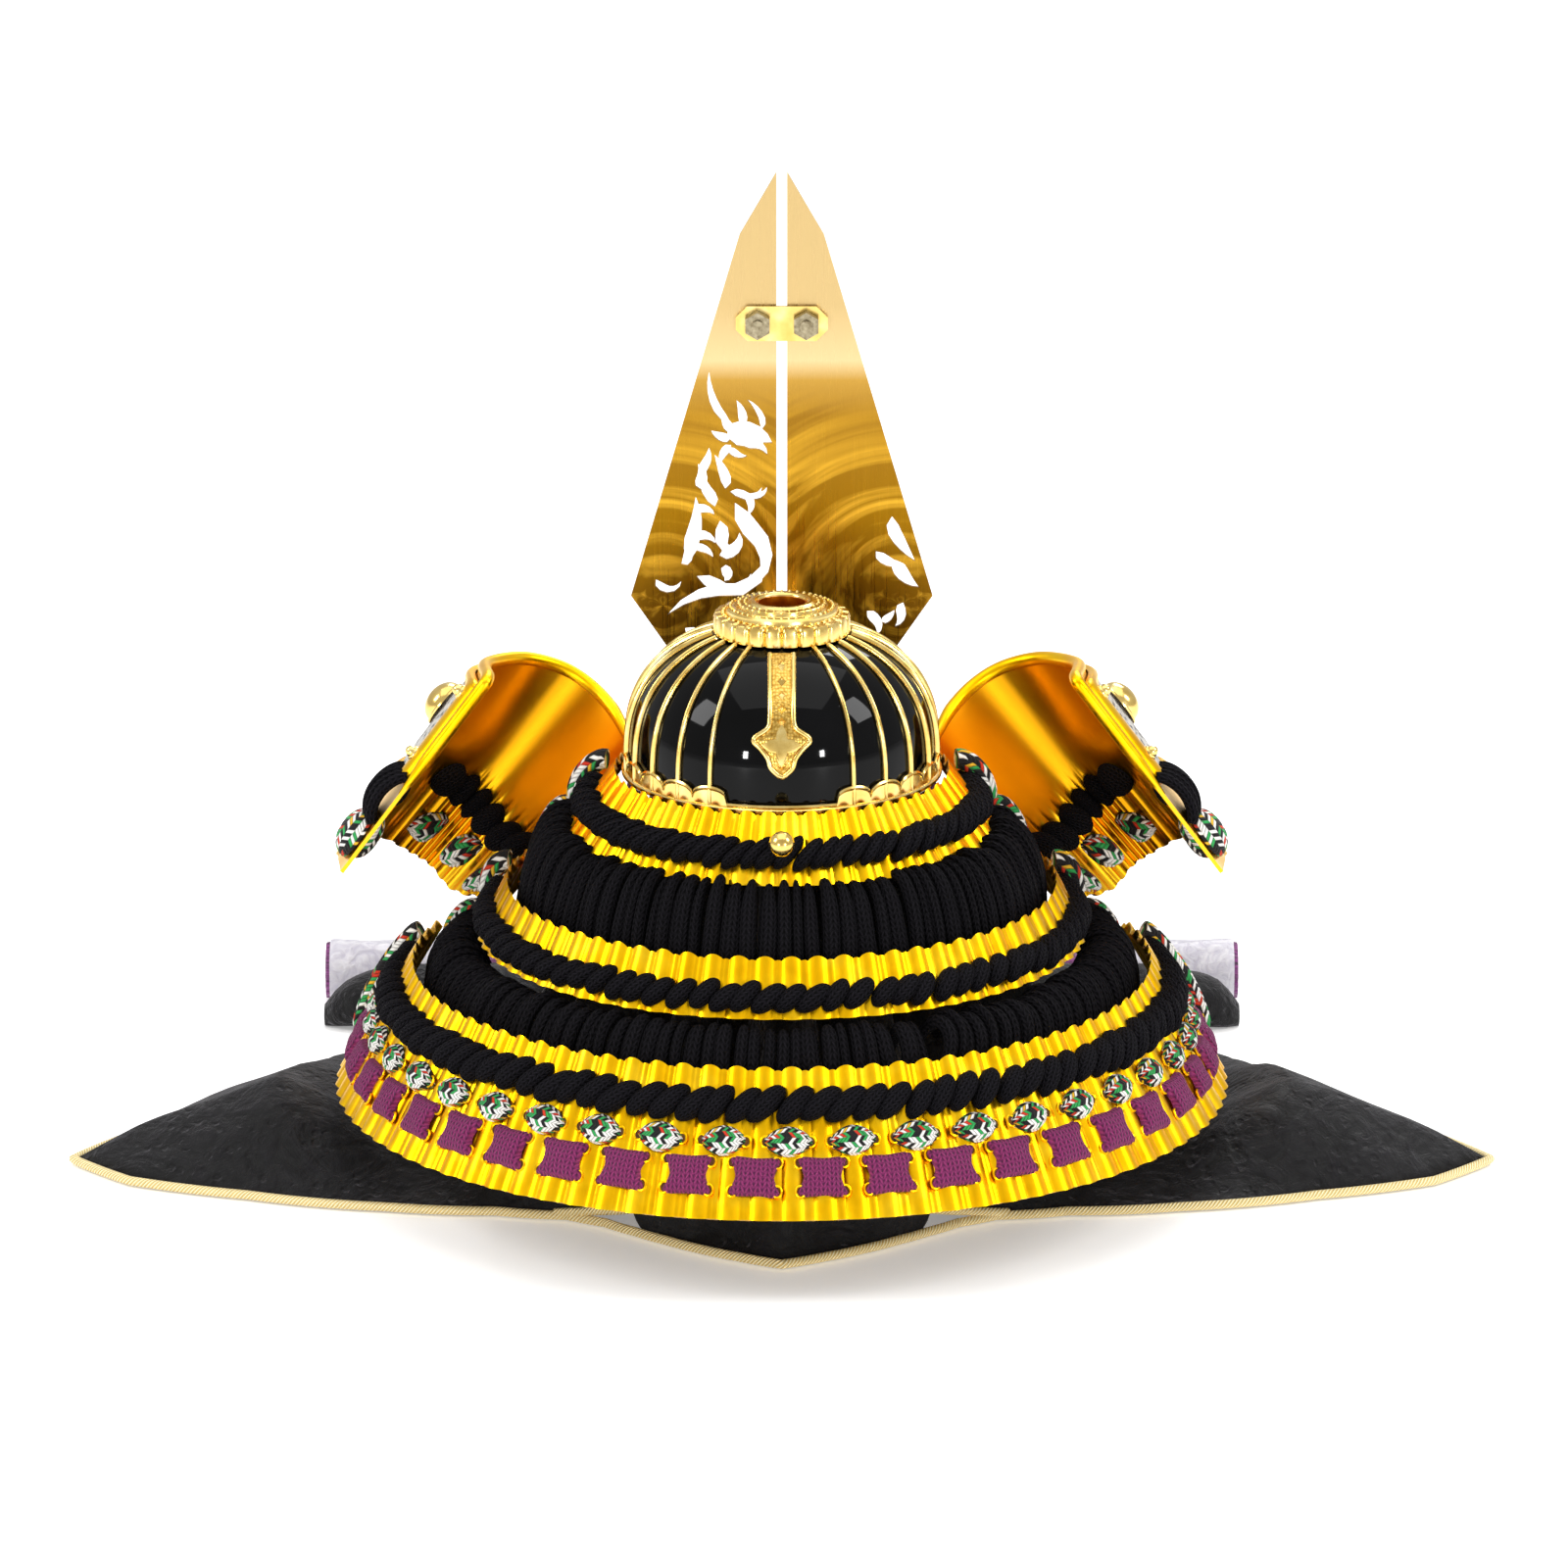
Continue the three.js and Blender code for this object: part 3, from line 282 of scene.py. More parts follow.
def piece(bm, name, material, *replaced, slot=None, flip=True, crease=38, weld=0.0):
    """Object from a bmesh in millimetres, shaded smooth up to the crease angle, on the one body."""
    if weld:
        bmesh.ops.remove_doubles(bm, verts=bm.verts, dist=weld)
    if flip:
        bmesh.ops.recalc_face_normals(bm, faces=bm.faces)
    bmesh.ops.scale(bm, vec=(MM, MM, MM), verts=bm.verts)
    for face in bm.faces:
        face.smooth = True
    mesh = bpy.data.meshes.new(name)
    bm.to_mesh(mesh)
    bm.free()
    mesh.set_sharp_from_angle(angle=math.radians(crease))
    made = bpy.data.objects.new(name, mesh)
    mesh.materials.append(material)
    bpy.context.scene.collection.objects.link(made)
    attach(made, "root")
    if replaced:
        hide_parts(*replaced)
    return made


def cross_frames(line):
    """Two directions across the line at each point, without twist."""
    frames, side = [], None
    for i in range(len(line)):
        ahead = (line[min(i + 1, len(line) - 1)] - line[max(i - 1, 0)]).normalized()
        if side is None:
            side = Vector((0, 0, 1)) if abs(ahead.z) < 0.9 else Vector((0, 1, 0))
        side = (side - ahead * side.dot(ahead)).normalized()
        frames.append((side, ahead.cross(side)))
    return frames


def tube(line, radius, sides=12, flat=1.0):
    """Closed tube along a line; radius may be a function of the share along it, flat squeezes it."""
    size = radius if callable(radius) else lambda share: radius
    rows = []
    for i, (p, (a, b)) in enumerate(zip(line, cross_frames(line))):
        r = size(i / (len(line) - 1))
        rows.append([p + a * (r * flat * math.cos(t)) + b * (r * math.sin(t)) for t in turns_of(sides)])
    return loft(rows, ring=True, capped=True)


def surface_mm(tree):
    """Sockets with the millimetres along a piece and across it, from its UV map."""
    return node(tree, "SeparateXYZ", {0: tree.nodes.new("ShaderNodeUVMap").outputs[0]}).outputs[:2]


def braided(name, dark, light, strand, depth):
    """Round braid of slanted strands that cross both ways; painted shade darkens its grooves."""
    made = finish(name, dark, 0.82, Sheen_Weight=0.1, Sheen_Roughness=0.45, Specular_IOR_Level=0.2)
    tree = made.node_tree
    along, across = surface_mm(tree)
    waves = []
    for slant in (1.0, -1.0):
        run = maths(tree, "MULTIPLY_ADD", across, slant, along)
        waves.append(maths(tree, "SINE", maths(tree, "MULTIPLY", run, math.pi / strand)))
    weave = maths(tree, "MULTIPLY", *waves)
    height = maths(tree, "ABSOLUTE", weave)
    fuzz = grain(tree, place(tree), 2500, 2)
    bump(made, maths(tree, "MULTIPLY_ADD", fuzz, 0.35, height), depth)
    # Painted shade and highlight: the colour is dark where the strands' relief is low and light on their
    # crowns.
    painted_shade = maths(tree, "MULTIPLY_ADD", fuzz, 0.3, maths(tree, "MULTIPLY", height, 0.8))
    feed(made, "Base Color", ramp(tree, painted_shade, (0.1, dark), (0.75, light)))
    return made


CORD_RADIUS, CORD_SIDES = 2.4, 14
RISER_ROUTE = [(31, 14, 90), (33, 24, 82), (36, 38, 66), (38, 54, 46), (37, 70, 32), (33, 86, 24),
               (27, 100, 20.5), (21, 112, 19), (15.5, 122, 12.5), (9, 130, 7.9), (4.2, 132.6, 6.6)]
TAIL_ROUTE = [(3.5, 134, 5.4), (8.5, 135, 4.2), (16, 137, 2.9), (28, 138, 2.9), (42, 134, 2.9),
              (52, 130, 4.5), (59, 128.2, 6.4), (64.5, 128, 7)]
KNOT_CENTRE = Vector((0, 133, 6.3))
KNOT_LOOPS, KNOT_CURL, KNOT_CORD_RADIUS = (4.4, 2.7, 1.9), 1.2, 2.2

purple_braid = braided("purple_braid", "4A1440", "93408A", 1.5, 0.28)


def mirrored(points):
    return [Vector((-p[0], p[1], p[2])) for p in points]


def knot_line():
    """Two loops of the cord pulled tight round each other."""
    wide, deep, tall = KNOT_LOOPS
    return [KNOT_CENTRE + Vector((wide * math.sin(t) + KNOT_CURL * math.sin(3 * t), deep * math.cos(2 * t),
                                  tall * math.sin(2 * t))) for t in evenly(0, 2 * math.pi, 72)]


knot = piece(tube(knot_line(), KNOT_CORD_RADIUS), "chin_knot_tied", purple_braid, "chin_knot",
             slot="purple_cord", weld=0.01)

# ---- Tassels
# A wound head and a skirt of fine purple silk threads at each end of the cord, still held together
# by a wrap of thin white paper. The two halves of the cord are hung up with them.

purple_silk = finish("purple_silk", "5B1F54", 0.6, Sheen_Weight=0.6, Sheen_Roughness=0.3)
tree = purple_silk.node_tree
threads = node(tree, "Mapping", {"Vector": place(tree), "Scale": (40, 2200, 2200)}).outputs[0]
strands = grain(tree, threads, 1, 2)
# The threads' colour follows the noise of their bump: partly tone from thread to thread, partly painted shade
# between threads.
feed(purple_silk, "Base Color", ramp(tree, strands, (0.3, "3C1238"), (0.7, "8A3D82")))
bump(purple_silk, strands, 0.25)
paper_wrap = finish("paper_wrap", "E9E6EE", 0.35, Transmission_Weight=0.3, Alpha=0.93)
tree = paper_wrap.node_tree
creases_and_shade = grain(tree, place(tree), 260, 4, 0.6, 1.5)
# Painted shade: the paper is coloured darker in its creases, following the same noise as the bump.
feed(paper_wrap, "Base Color", ramp(tree, creases_and_shade, (0.35, "C9C5D2"), (0.65, "E9E7EC")))
bump(paper_wrap, creases_and_shade, 0.5)

TASSEL_FROM, TASSEL_LENGTH, TASSEL_Y, TASSEL_AXIS_Z = 63, 46, 128, 7
TASSEL_PROFILE = [(0, 3.0), (2, 4.1), (4, 4.5), (6, 4.3), (8, 4.1), (12, 5.6), (20, 6.2), (34, 6.5),
                  (44, 6.6), (46, 6.3)]        # mm from the cord, radius
TASSEL_HEAD, HEAD_WINDING, HEAD_RELIEF = 9, 1.1, 0.25
SKIRT_LOBES, SKIRT_RELIEF = 16, 0.06
WRAP_FROM, WRAP_TO, WRAP_SLACK, WRAP_CREASE, WRAP_WALL = 13, 45, 0.75, 0.2, 0.12


def table_at(rows, key):
    """Value at key on a smooth curve through (key, value) rows."""
    i = next((k for k, row in enumerate(rows) if row[0] >= key), len(rows) - 1)
    if i == 0:
        return rows[0][1]
    (k0, v0), (k1, v1) = rows[i - 1], rows[i]
    run, rise = k1 - k0, v1 - v0
    share = min(1, (key - k0) / run)
    slope0 = (v1 - rows[i - 2][1]) / (k1 - rows[i - 2][0]) if i > 1 else rise / run
    slope1 = (rows[i + 1][1] - v0) / (rows[i + 1][0] - k0) if i < len(rows) - 1 else rise / run
    slope0, slope1 = (0 if rise * slope < 0 else slope for slope in (slope0, slope1))
    return ((2 * share ** 3 - 3 * share ** 2 + 1) * v0 + (share ** 3 - 2 * share ** 2 + share) * run * slope0
            + (3 * share ** 2 - 2 * share ** 3) * v1 + (share ** 3 - share ** 2) * run * slope1)


def tassel_point(side, along, across, up, turn):
    """Point on a tassel, along mm from the cord, at a sideways and an upward radius."""
    return Vector((side * (TASSEL_FROM + along), TASSEL_Y + across * math.cos(turn),
                   TASSEL_AXIS_Z + up * math.sin(turn)))


def tassel(side):
    """Wound head and a skirt of lobed strands, lying on the table."""
    rows = []
    for along in evenly(0, TASSEL_LENGTH, 46):
        in_head = along < TASSEL_HEAD
        r = table_at(TASSEL_PROFILE, along)
        r += HEAD_RELIEF * math.sin(along * math.pi / HEAD_WINDING) if in_head else 0
        lobes = 0 if in_head or along == TASSEL_HEAD else SKIRT_RELIEF
        rows.append([tassel_point(side, along, r * (1 + lobes * math.sin(SKIRT_LOBES * t + along * 0.05)),
                                  r * (1 + lobes * math.sin(SKIRT_LOBES * t)), t) for t in turns_of(64)])
    return loft(rows, ring=True, capped=True)


def wrap(side):
    """Creased paper sleeve, open at both ends."""
    rows = []
    for along in evenly(WRAP_FROM, WRAP_TO, 24):
        r = table_at(TASSEL_PROFILE, along) + WRAP_SLACK
        radii = [(t, r + WRAP_CREASE * math.sin(5 * t + along * 0.3)) for t in turns_of(40)]
        rows.append([tassel_point(side, along, radius, radius, t) for t, radius in radii])
    bm = loft(rows, ring=True)
    bmesh.ops.solidify(bm, geom=bm.faces[:], thickness=WRAP_WALL)
    return bm


for side, word in ((1, "right"), (-1, "left")):
    skirt = piece(tassel(side), f"tassel_skirt_{word}", purple_silk, f"tassel_{word}", slot="purple_cord")
    sleeve = piece(wrap(side), f"tassel_wrap_{word}", paper_wrap, slot="purple_cord")
    riser_line = rope_line(RISER_ROUTE if side > 0 else mirrored(RISER_ROUTE), 60)
    tail_line = rope_line(TAIL_ROUTE if side > 0 else mirrored(TAIL_ROUTE), 24)
    riser = piece(tube(riser_line, CORD_RADIUS, CORD_SIDES), f"chin_cord_riser_{word}", purple_braid,
                  f"chin_riser_{word}", slot="purple_cord")
    tail = piece(tube(tail_line, CORD_RADIUS, CORD_SIDES), f"chin_cord_tail_{word}", purple_braid,
                 f"chin_tail_{word}", slot="purple_cord")

# ---- Bowl
# A dome of steel plates under many coats of polished black lacquer, open below and at the crown.
# The neck guard and the peak are riveted round its rim.

BOWL_RADIUS, BOWL_BASE_Z, BOWL_WAIST_Z, BOWL_RISE, BOWL_POWER, BOWL_WALL = 34.6, 93, 98, 29, 2.4, 1.6
RIM_INSET = 0.4
CROWN_HOLE_RADIUS = 5


def bowl_point(turn, off=0.0):
    """Outer (r, z) of the dome, off mm outwards; turn 0 is the waist and 90 the crown."""
    c, s = math.cos(math.radians(turn)), math.sin(math.radians(turn))
    r, z = BOWL_RADIUS * c ** (2 / BOWL_POWER), BOWL_RISE * s ** (2 / BOWL_POWER)
    nr = (r / BOWL_RADIUS) ** (BOWL_POWER - 1) / BOWL_RADIUS
    nz = (z / BOWL_RISE) ** (BOWL_POWER - 1) / BOWL_RISE
    length = math.hypot(nr, nz)
    return r + off * nr / length, BOWL_WAIST_Z + z + off * nz / length


def turn_at_radius(r):
    return math.degrees(math.acos((r / BOWL_RADIUS) ** (BOWL_POWER / 2)))


def turn_at_height(z):
    return math.degrees(math.asin(((z - BOWL_WAIST_Z) / BOWL_RISE) ** (BOWL_POWER / 2)))


def spun(profile, steps=128):
    """Closed (r, z) profile spun round the upright axis."""
    bm = bmesh.new()
    verts = [bm.verts.new((r, 0, z)) for r, z in profile]
    edges = [bm.edges.new(pair) for pair in zip(verts, verts[1:] + verts[:1])]
    bmesh.ops.spin(bm, geom=verts + edges, cent=(0, 0, 0), axis=(0, 0, 1), angle=2 * math.pi, steps=steps,
                   use_merge=True)
    return bm


black_lacquer = finish("black_lacquer", "050506", 0.05, IOR=1.5, Specular_IOR_Level=0.14)
tree = black_lacquer.node_tree
feed(black_lacquer, "Roughness", spread(tree, grain(tree, place(tree), 90, 4), 0.03, 0.07))
feed(black_lacquer, "Base Color", ramp(tree, grain(tree, place(tree), 60), (0.3, "010101"), (0.75, "050506")))
bump(black_lacquer, grain(tree, place(tree), 110, 1), 0.035)

turns = evenly(0, turn_at_radius(CROWN_HOLE_RADIUS), 28)
outer = [(BOWL_RADIUS - RIM_INSET, BOWL_BASE_Z), (BOWL_RADIUS - RIM_INSET / 4, BOWL_BASE_Z + 2.4)]
outer += [bowl_point(t) for t in turns]
inner = [(BOWL_RADIUS - RIM_INSET - BOWL_WALL, BOWL_BASE_Z)] + [bowl_point(t, -BOWL_WALL) for t in turns]
piece(spun(outer + inner[::-1], 144), "bowl_shell", black_lacquer, "bowl", slot="black_lacquer")

# ---- Ribs, base ring and petals
# Rolled pale gold wires up the seams of the dome, rising out of a row of lobed petals that stand on
# a beaded ring. They are brass with a light gold plate, clipped on as one cage.

RIB_FIRST, RIB_PITCH, RIBS_PER_SIDE = 27, 14, 10
RIB_LAST = RIB_FIRST + RIB_PITCH * (RIBS_PER_SIDE - 1)
RIB_SEAT, RIB_HEIGHT, RIB_HALF_WIDTH = 0.15, 1.1, 0.56
RING_HEIGHT, PETAL_CUSP, PETAL_RISE, PETAL_STEPS = 2.2, 1.2, 2.3, 720
FINIAL_RADIUS = 15.4

pale_gold = finish("pale_gold", "D9B45B", 0.24, 1.0)
tree = pale_gold.node_tree
wear = grain(tree, place(tree), 240, 3, 0.5)
feed(pale_gold, "Base Color", ramp(tree, wear, (0.25, "DDB65C"), (0.5, "EFCD78"), (0.75, "F9E3A0")))
feed(pale_gold, "Roughness", spread(tree, wear, 0.16, 0.27))
bump(pale_gold, grain(tree, place(tree), 500, 2), 0.02)


def rib(azimuth):
    """Half-round wire from the base ring up to the crown fitting."""
    levels = [(BOWL_RADIUS + 0.2, BOWL_BASE_Z + 1, BOWL_RADIUS + RIB_HEIGHT, BOWL_BASE_Z + 1)]
    levels += [(*bowl_point(t, RIB_SEAT), *bowl_point(t, RIB_HEIGHT))
               for t in evenly(0, turn_at_radius(FINIAL_RADIUS + 0.2), 24)]
    rows = []
    for r0, z0, r1, z1 in levels:
        row = []
        for t in evenly(0, math.pi, 8):
            r, z = r0 + (r1 - r0) * math.sin(t), z0 + (z1 - z0) * math.sin(t)
            row.append(polar(r, azimuth + math.degrees(RIB_HALF_WIDTH * math.cos(t) / r0), z))
        rows.append(row)
    return loft(rows, ring=True, capped=True)


def merged(parts):
    """One bmesh holding several."""
    whole = bmesh.new()
    for part in parts:
        mesh = bpy.data.meshes.new("part")
        part.to_mesh(mesh)
        part.free()
        whole.from_mesh(mesh)
        bpy.data.meshes.remove(mesh)
    return whole


def petal_top(azimuth):
    """Height of the petals' edge above the base, round lobes that meet in cusps."""
    side = abs((azimuth + 180) % 360 - 180)
    if not RIB_FIRST - RIB_PITCH / 2 <= side <= RIB_LAST + RIB_PITCH / 2:
        return RING_HEIGHT
    off = abs((side - RIB_FIRST + RIB_PITCH / 2) % RIB_PITCH - RIB_PITCH / 2) / (RIB_PITCH / 2)
    edge = min(side - (RIB_FIRST - RIB_PITCH / 2), RIB_LAST + RIB_PITCH / 2 - side)
    return RING_HEIGHT + min(1, edge / 0.8) * (PETAL_CUSP + PETAL_RISE * math.sqrt(max(0, 1 - off ** 2.2)))


def petal_ring():
    """Rolled base ring and, above it, a thin wall with a thicker edge that ends in the petals."""
    rows = []
    inner, base = BOWL_RADIUS + 0.2, BOWL_BASE_Z
    for azimuth in [360 * k / PETAL_STEPS for k in range(PETAL_STEPS)]:
        top = base + petal_top(azimuth)
        rows.append([polar(inner + out, azimuth, z) for out, z in (
            (0, base), (0.8, base), (1.15, base + 0.3), (1.15, base + 1.0), (0.85, base + 1.3),
            (0.5, base + 1.4), (0.5, max(base + 1.45, top - 1.15)), (0.8, max(base + 1.5, top - 0.95)),
            (0.95, max(base + 1.6, top - 0.5)), (0.7, top - 0.08), (0.3, top), (0, top - 0.1))])
    return loft(rows, ring=True, closed=True)


ribs = [rib(side * (RIB_FIRST + RIB_PITCH * k)) for k in range(RIBS_PER_SIDE) for side in (1, -1)]
piece(merged([petal_ring()] + ribs), "ribs_and_petals", pale_gold, "rib_cage", slot="pale_gold")

# ---- Crown fitting
# A chrysanthemum-like mount of pressed gold plate round the crown hole: a skirt of upright tabs,
# two granulated tiers and a rolled open ring, lined with orange gilding.

TABS, TAB_STEPS = 24, 10
TAB_DEPTH, TAB_RISE = 0.85, 0.4
BEAD_RINGS = ((13.1, 129.9, 46, 0.55), (11.5, 131.5, 44, 0.42), (9.6, 132.2, 34, 0.4),
              (8.3, 132.4, 30, 0.38))     # radius, z, beads, bead radius


def bead_ring(radius, z, count, size):
    parts = []
    for k in range(count):
        ball = bmesh.new()
        bmesh.ops.create_icosphere(ball, subdivisions=1, radius=size)
        bmesh.ops.translate(ball, vec=polar(radius, 360 * k / count, z), verts=ball.verts)
        parts.append(ball)
    return parts


def crown_fitting():
    """Skirt of tabs and, inside it, two stepped tiers under the rolled ring."""
    rim_r, rim_z = bowl_point(turn_at_radius(FINIAL_RADIUS - 1.2), 0.15)
    mid_r, mid_z = bowl_point(turn_at_radius(9), 0.15)
    tiers = [(12.9, 129.4), (12.6, 129.8), (12.5, 131.0), (12.0, 131.4), (10.6, 131.4), (10.2, 131.2),
             (9.9, 131.4), (9.7, 132.2), (9.1, 132.5), (7.9, 132.3), (7.5, 132.4), (7.1, 132.8),
             (6.5, 132.9), (5.9, 132.7), (5.6, 132.3)]
    rows = []
    for k in range(TABS * TAB_STEPS):
        share = (k % TAB_STEPS) / TAB_STEPS
        tab = 1 - abs(2 * share - 1) ** 6
        out, up = FINIAL_RADIUS + TAB_DEPTH * tab, TAB_RISE * tab
        skirt = [(5.6, 127.3), (mid_r, mid_z), (rim_r, rim_z), (out - 0.9, rim_z + 0.1), (out - 0.9, 128.9),
                 (out - 1.3, 129.5 + up), (13.7, 129.7 + up)]
        rows.append([polar(r, 360 * k / (TABS * TAB_STEPS), z) for r, z in skirt + tiers])
    beads = [ball for ring in BEAD_RINGS for ball in bead_ring(*ring)]
    return merged([loft(rows, ring=True, closed=True)] + beads)


piece(crown_fitting(), "crown_fitting", pale_gold, "tehen_finial", slot="pale_gold")

orange_gilding = finish("orange_gilding", "E07C12", 0.35, 1.0)
tree = orange_gilding.node_tree
cloudy = grain(tree, place(tree), 500)
feed(orange_gilding, "Base Color", ramp(tree, cloudy, (0.3, "C4610A"), (0.7, "F2981E")))
lining = spun([(5.55, 127.2), (5.3, 127.2), (5.3, 132.2), (5.55, 132.2)], 48)
piece(lining, "crown_lining", orange_gilding, slot="yellow_gold")

# ---- Spear strips
# Pressed gold strips down the back and the front of the dome, each with rolled borders round a
# granulated field, ending in a barbed leaf with a four-pointed star on it.

# z, half width
SPEAR = [(101.4, 0.4), (103.4, 2.6), (105.6, 3.4), (107.6, 5.0), (109, 6.6), (109.9, 6.3), (111.6, 3.6),
         (113, 3.0), (118, 2.95), (123.2, 2.95), (124.6, 2.95)]
BORDER_RADIUS, BORDER_SEAT = 0.6, 1.15
STAR_Z, STAR_HALF_WIDTH, STAR_HALF_HEIGHT, STAR_SEAT, STAR_WALL = 108.4, 4.3, 4.1, 1.8, 0.4
STUDS_Z = (122.6, 120.2, 117.8, 115.4, 113.0, 104.0)

granulated_gold = finish("granulated_gold", "C9A24C", 0.3, 1.0)
tree = granulated_gold.node_tree
pebbles = node(tree, "TexVoronoi", {"Vector": place(tree), "Scale": 1500, "Randomness": 0.6})
grains = pebbles.outputs["Distance"]
# Painted shade and highlight: the colour is light on the granules' tops and darker in the gaps between them.
feed(granulated_gold, "Base Color", ramp(tree, grains, (0.1, "F0CE78"), (0.45, "D6AC50"), (0.8, "A67C32")))
bump(granulated_gold, maths(tree, "SUBTRACT", 1.0, grains), 0.08)


def on_dome(azimuth, across, z, off):
    """Point on the dome, across mm sideways of azimuth, at height z, off mm out."""
    r, height = bowl_point(turn_at_height(z), off)
    return polar(r, azimuth + math.degrees(across / r), height)


def spear_field(azimuth):
    """Slightly crowned strip inside the borders."""
    rows = []
    for z in evenly(101.5, 124.4, 70):
        half = table_at(SPEAR, z) - 0.45
        top = [on_dome(azimuth, half * s, z, 0.95 + 0.15 * (1 - s * s))
               for s in (-1, -0.6, -0.25, 0, 0.25, 0.6, 1)]
        rows.append(top + [on_dome(azimuth, half * s, z, 0.12) for s in (1, 0, -1)])
    return loft(rows, ring=True, capped=True)


def spear_border(azimuth):
    """Rolled wire down one edge, round the tip and up the other."""
    heights = evenly(124.2, 101.6, 60)
    edge = [(table_at(SPEAR, z) - 0.35, z) for z in heights]
    line = edge + [(-across, z) for across, z in edge[-2::-1]]
    return tube([on_dome(azimuth, across, z, BORDER_SEAT) for across, z in line], BORDER_RADIUS, 10)


def star_plate(azimuth, z):
    """Four-pointed star, thick in the middle and thin at its points."""
    bm = bmesh.new()
    bmesh.ops.create_circle(bm, cap_ends=True, segments=16, radius=1)
    bmesh.ops.inset_region(bm, faces=bm.faces[:], thickness=0.35, depth=0.3, use_even_offset=True)
    for v in bm.verts:
        turn = math.atan2(v.co.y, v.co.x)
        reach = v.co.to_2d().length * (0.42 + 0.58 * abs(math.cos(2 * turn)) ** 2.6)
        v.co = on_dome(azimuth, STAR_HALF_WIDTH * reach * math.cos(turn),
                       z + STAR_HALF_HEIGHT * reach * math.sin(turn), STAR_SEAT + v.co.z)
    bmesh.ops.solidify(bm, geom=bm.faces[:], thickness=STAR_WALL)
    return bm


def stud(azimuth, z):
    """Pointed stud with four faces."""
    bm = bmesh.new()
    bmesh.ops.create_cone(bm, cap_ends=True, segments=4, radius1=1.25, radius2=0.15, depth=1.0)
    for v in bm.verts:
        v.co = on_dome(azimuth, v.co.x, z + v.co.y * 0.9, 1.35 + v.co.z)
    return bm


for azimuth, word in ((0, "rear"), (180, "front")):
    piece(spear_field(azimuth), f"spear_field_{word}", granulated_gold, f"spear_strip_{word}",
          slot="pale_gold")
    raised = [spear_border(azimuth), star_plate(azimuth, STAR_Z)] + [stud(azimuth, z) for z in STUDS_Z]
    piece(merged(raised), f"spear_border_{word}", pale_gold, slot="pale_gold")

# ---- Peak
# A short curved plate riveted to the front of the bowl's rim, lacquered black like the bowl, with a
# gold bead rolled over its edge. It slopes down from the rim.

PEAK_SPAN, PEAK_INNER, PEAK_Z, PEAK_SLOPE, PEAK_CROWN, PEAK_WALL = 48, BOWL_RADIUS + 1.6, 92.6, 0.5, 0.8, 1
PEAK_BEAD_RADIUS = 0.8


def peak_reach(azimuth):
    """How far the peak stands out in front, less towards its ends."""
    return 12 * math.cos(math.radians((azimuth - 180) * 1.3)) + 3


rows, peak_edge = [], []
for azimuth in evenly(180 - PEAK_SPAN, 180 + PEAK_SPAN, 72):
    reach = peak_reach(azimuth)
    top = [(PEAK_INNER + reach * t, PEAK_Z - reach * PEAK_SLOPE * t + PEAK_CROWN * math.sin(math.pi * t))
           for t in evenly(0, 1, 8)]
    rows.append([polar(r, azimuth, z) for r, z in top + [(r, z - PEAK_WALL) for r, z in top[::-1]]])
    peak_edge.append(polar(PEAK_INNER + reach, azimuth, PEAK_Z - PEAK_WALL / 2 - reach * PEAK_SLOPE))
piece(loft(rows, ring=True, capped=True), "peak", black_lacquer, "visor", slot="black_lacquer")
piece(tube(peak_edge, PEAK_BEAD_RADIUS, 10), "peak_bead", pale_gold, slot="pale_gold")

# ---- Crest
# Two tall blades of thin brass, fretted and brushed upright, with a dark gold plate. A strip and two
# M3 bolts with nuts hold them together; their feet stand in a socket on the peak.

SWIRL_X, SWIRL_Z = 0.027, 0.121         # middle of each blade's brushed arcs, in metres
CREST_FOOT, CREST_TIP = 0.093, 0.222

bronze_gold = finish("bronze_gold", "A8741A", 0.3, 1.0)
tree = bronze_gold.node_tree
at = node(tree, "SeparateXYZ", {0: place(tree)}).outputs
off_x = maths(tree, "SUBTRACT", maths(tree, "ABSOLUTE", at[0]), SWIRL_X)
off_z = maths(tree, "SUBTRACT", at[2], SWIRL_Z)
away = maths(tree, "SQRT", maths(tree, "MULTIPLY_ADD", off_x, off_x, maths(tree, "MULTIPLY", off_z, off_z)))
around = maths(tree, "MULTIPLY", maths(tree, "DIVIDE", off_z, away), 1.5)
fan = node(tree, "CombineXYZ", {0: maths(tree, "MULTIPLY", away, 230), 1: around}).outputs[0]
arcs = grain(tree, fan, 1, 3.5, 0.55, 0.7)
upright = node(tree, "Mapping", {"Vector": place(tree), "Scale": (2600, 2600, 60)}).outputs[0]
brushing = grain(tree, upright, 1, 2)
height = spread(tree, at[2], 0, 1, CREST_FOOT, CREST_TIP)
# Painted shade and light: the blades' colour runs from dark at the feet to pale towards the tips, by height
# alone.
shade_by_height = ramp(tree, height, (0.0, "4F3406"), (0.2, "7A5410"), (0.38, "94690F"), (0.56, "946A1F"),
               (0.625, "B98F3E"), (0.66, "DAC08C"), (0.76, "C8AC76"), (1.0, "C6AA74"))
low_half = spread(tree, at[2], 1, 0, 0.150, 0.172)
# Painted highlight: the brushed arcs are painted brighter, and only on the lower part of the blades.
glow = maths(tree, "MULTIPLY", spread(tree, arcs, 0, 0.95, 0.46, 0.7), low_half)
blended = node(tree, "Mix", {"Factor": glow}, data_type="RGBA")
tree.links.new(shade_by_height, blended.inputs[6])
blended.inputs[7].default_value = rgb("E2AE35")
feed(bronze_gold, "Base Color", blended.outputs[2])
feed(bronze_gold, "Roughness", spread(tree, brushing, 0.24, 0.4))
bump(bronze_gold, brushing, 0.02)

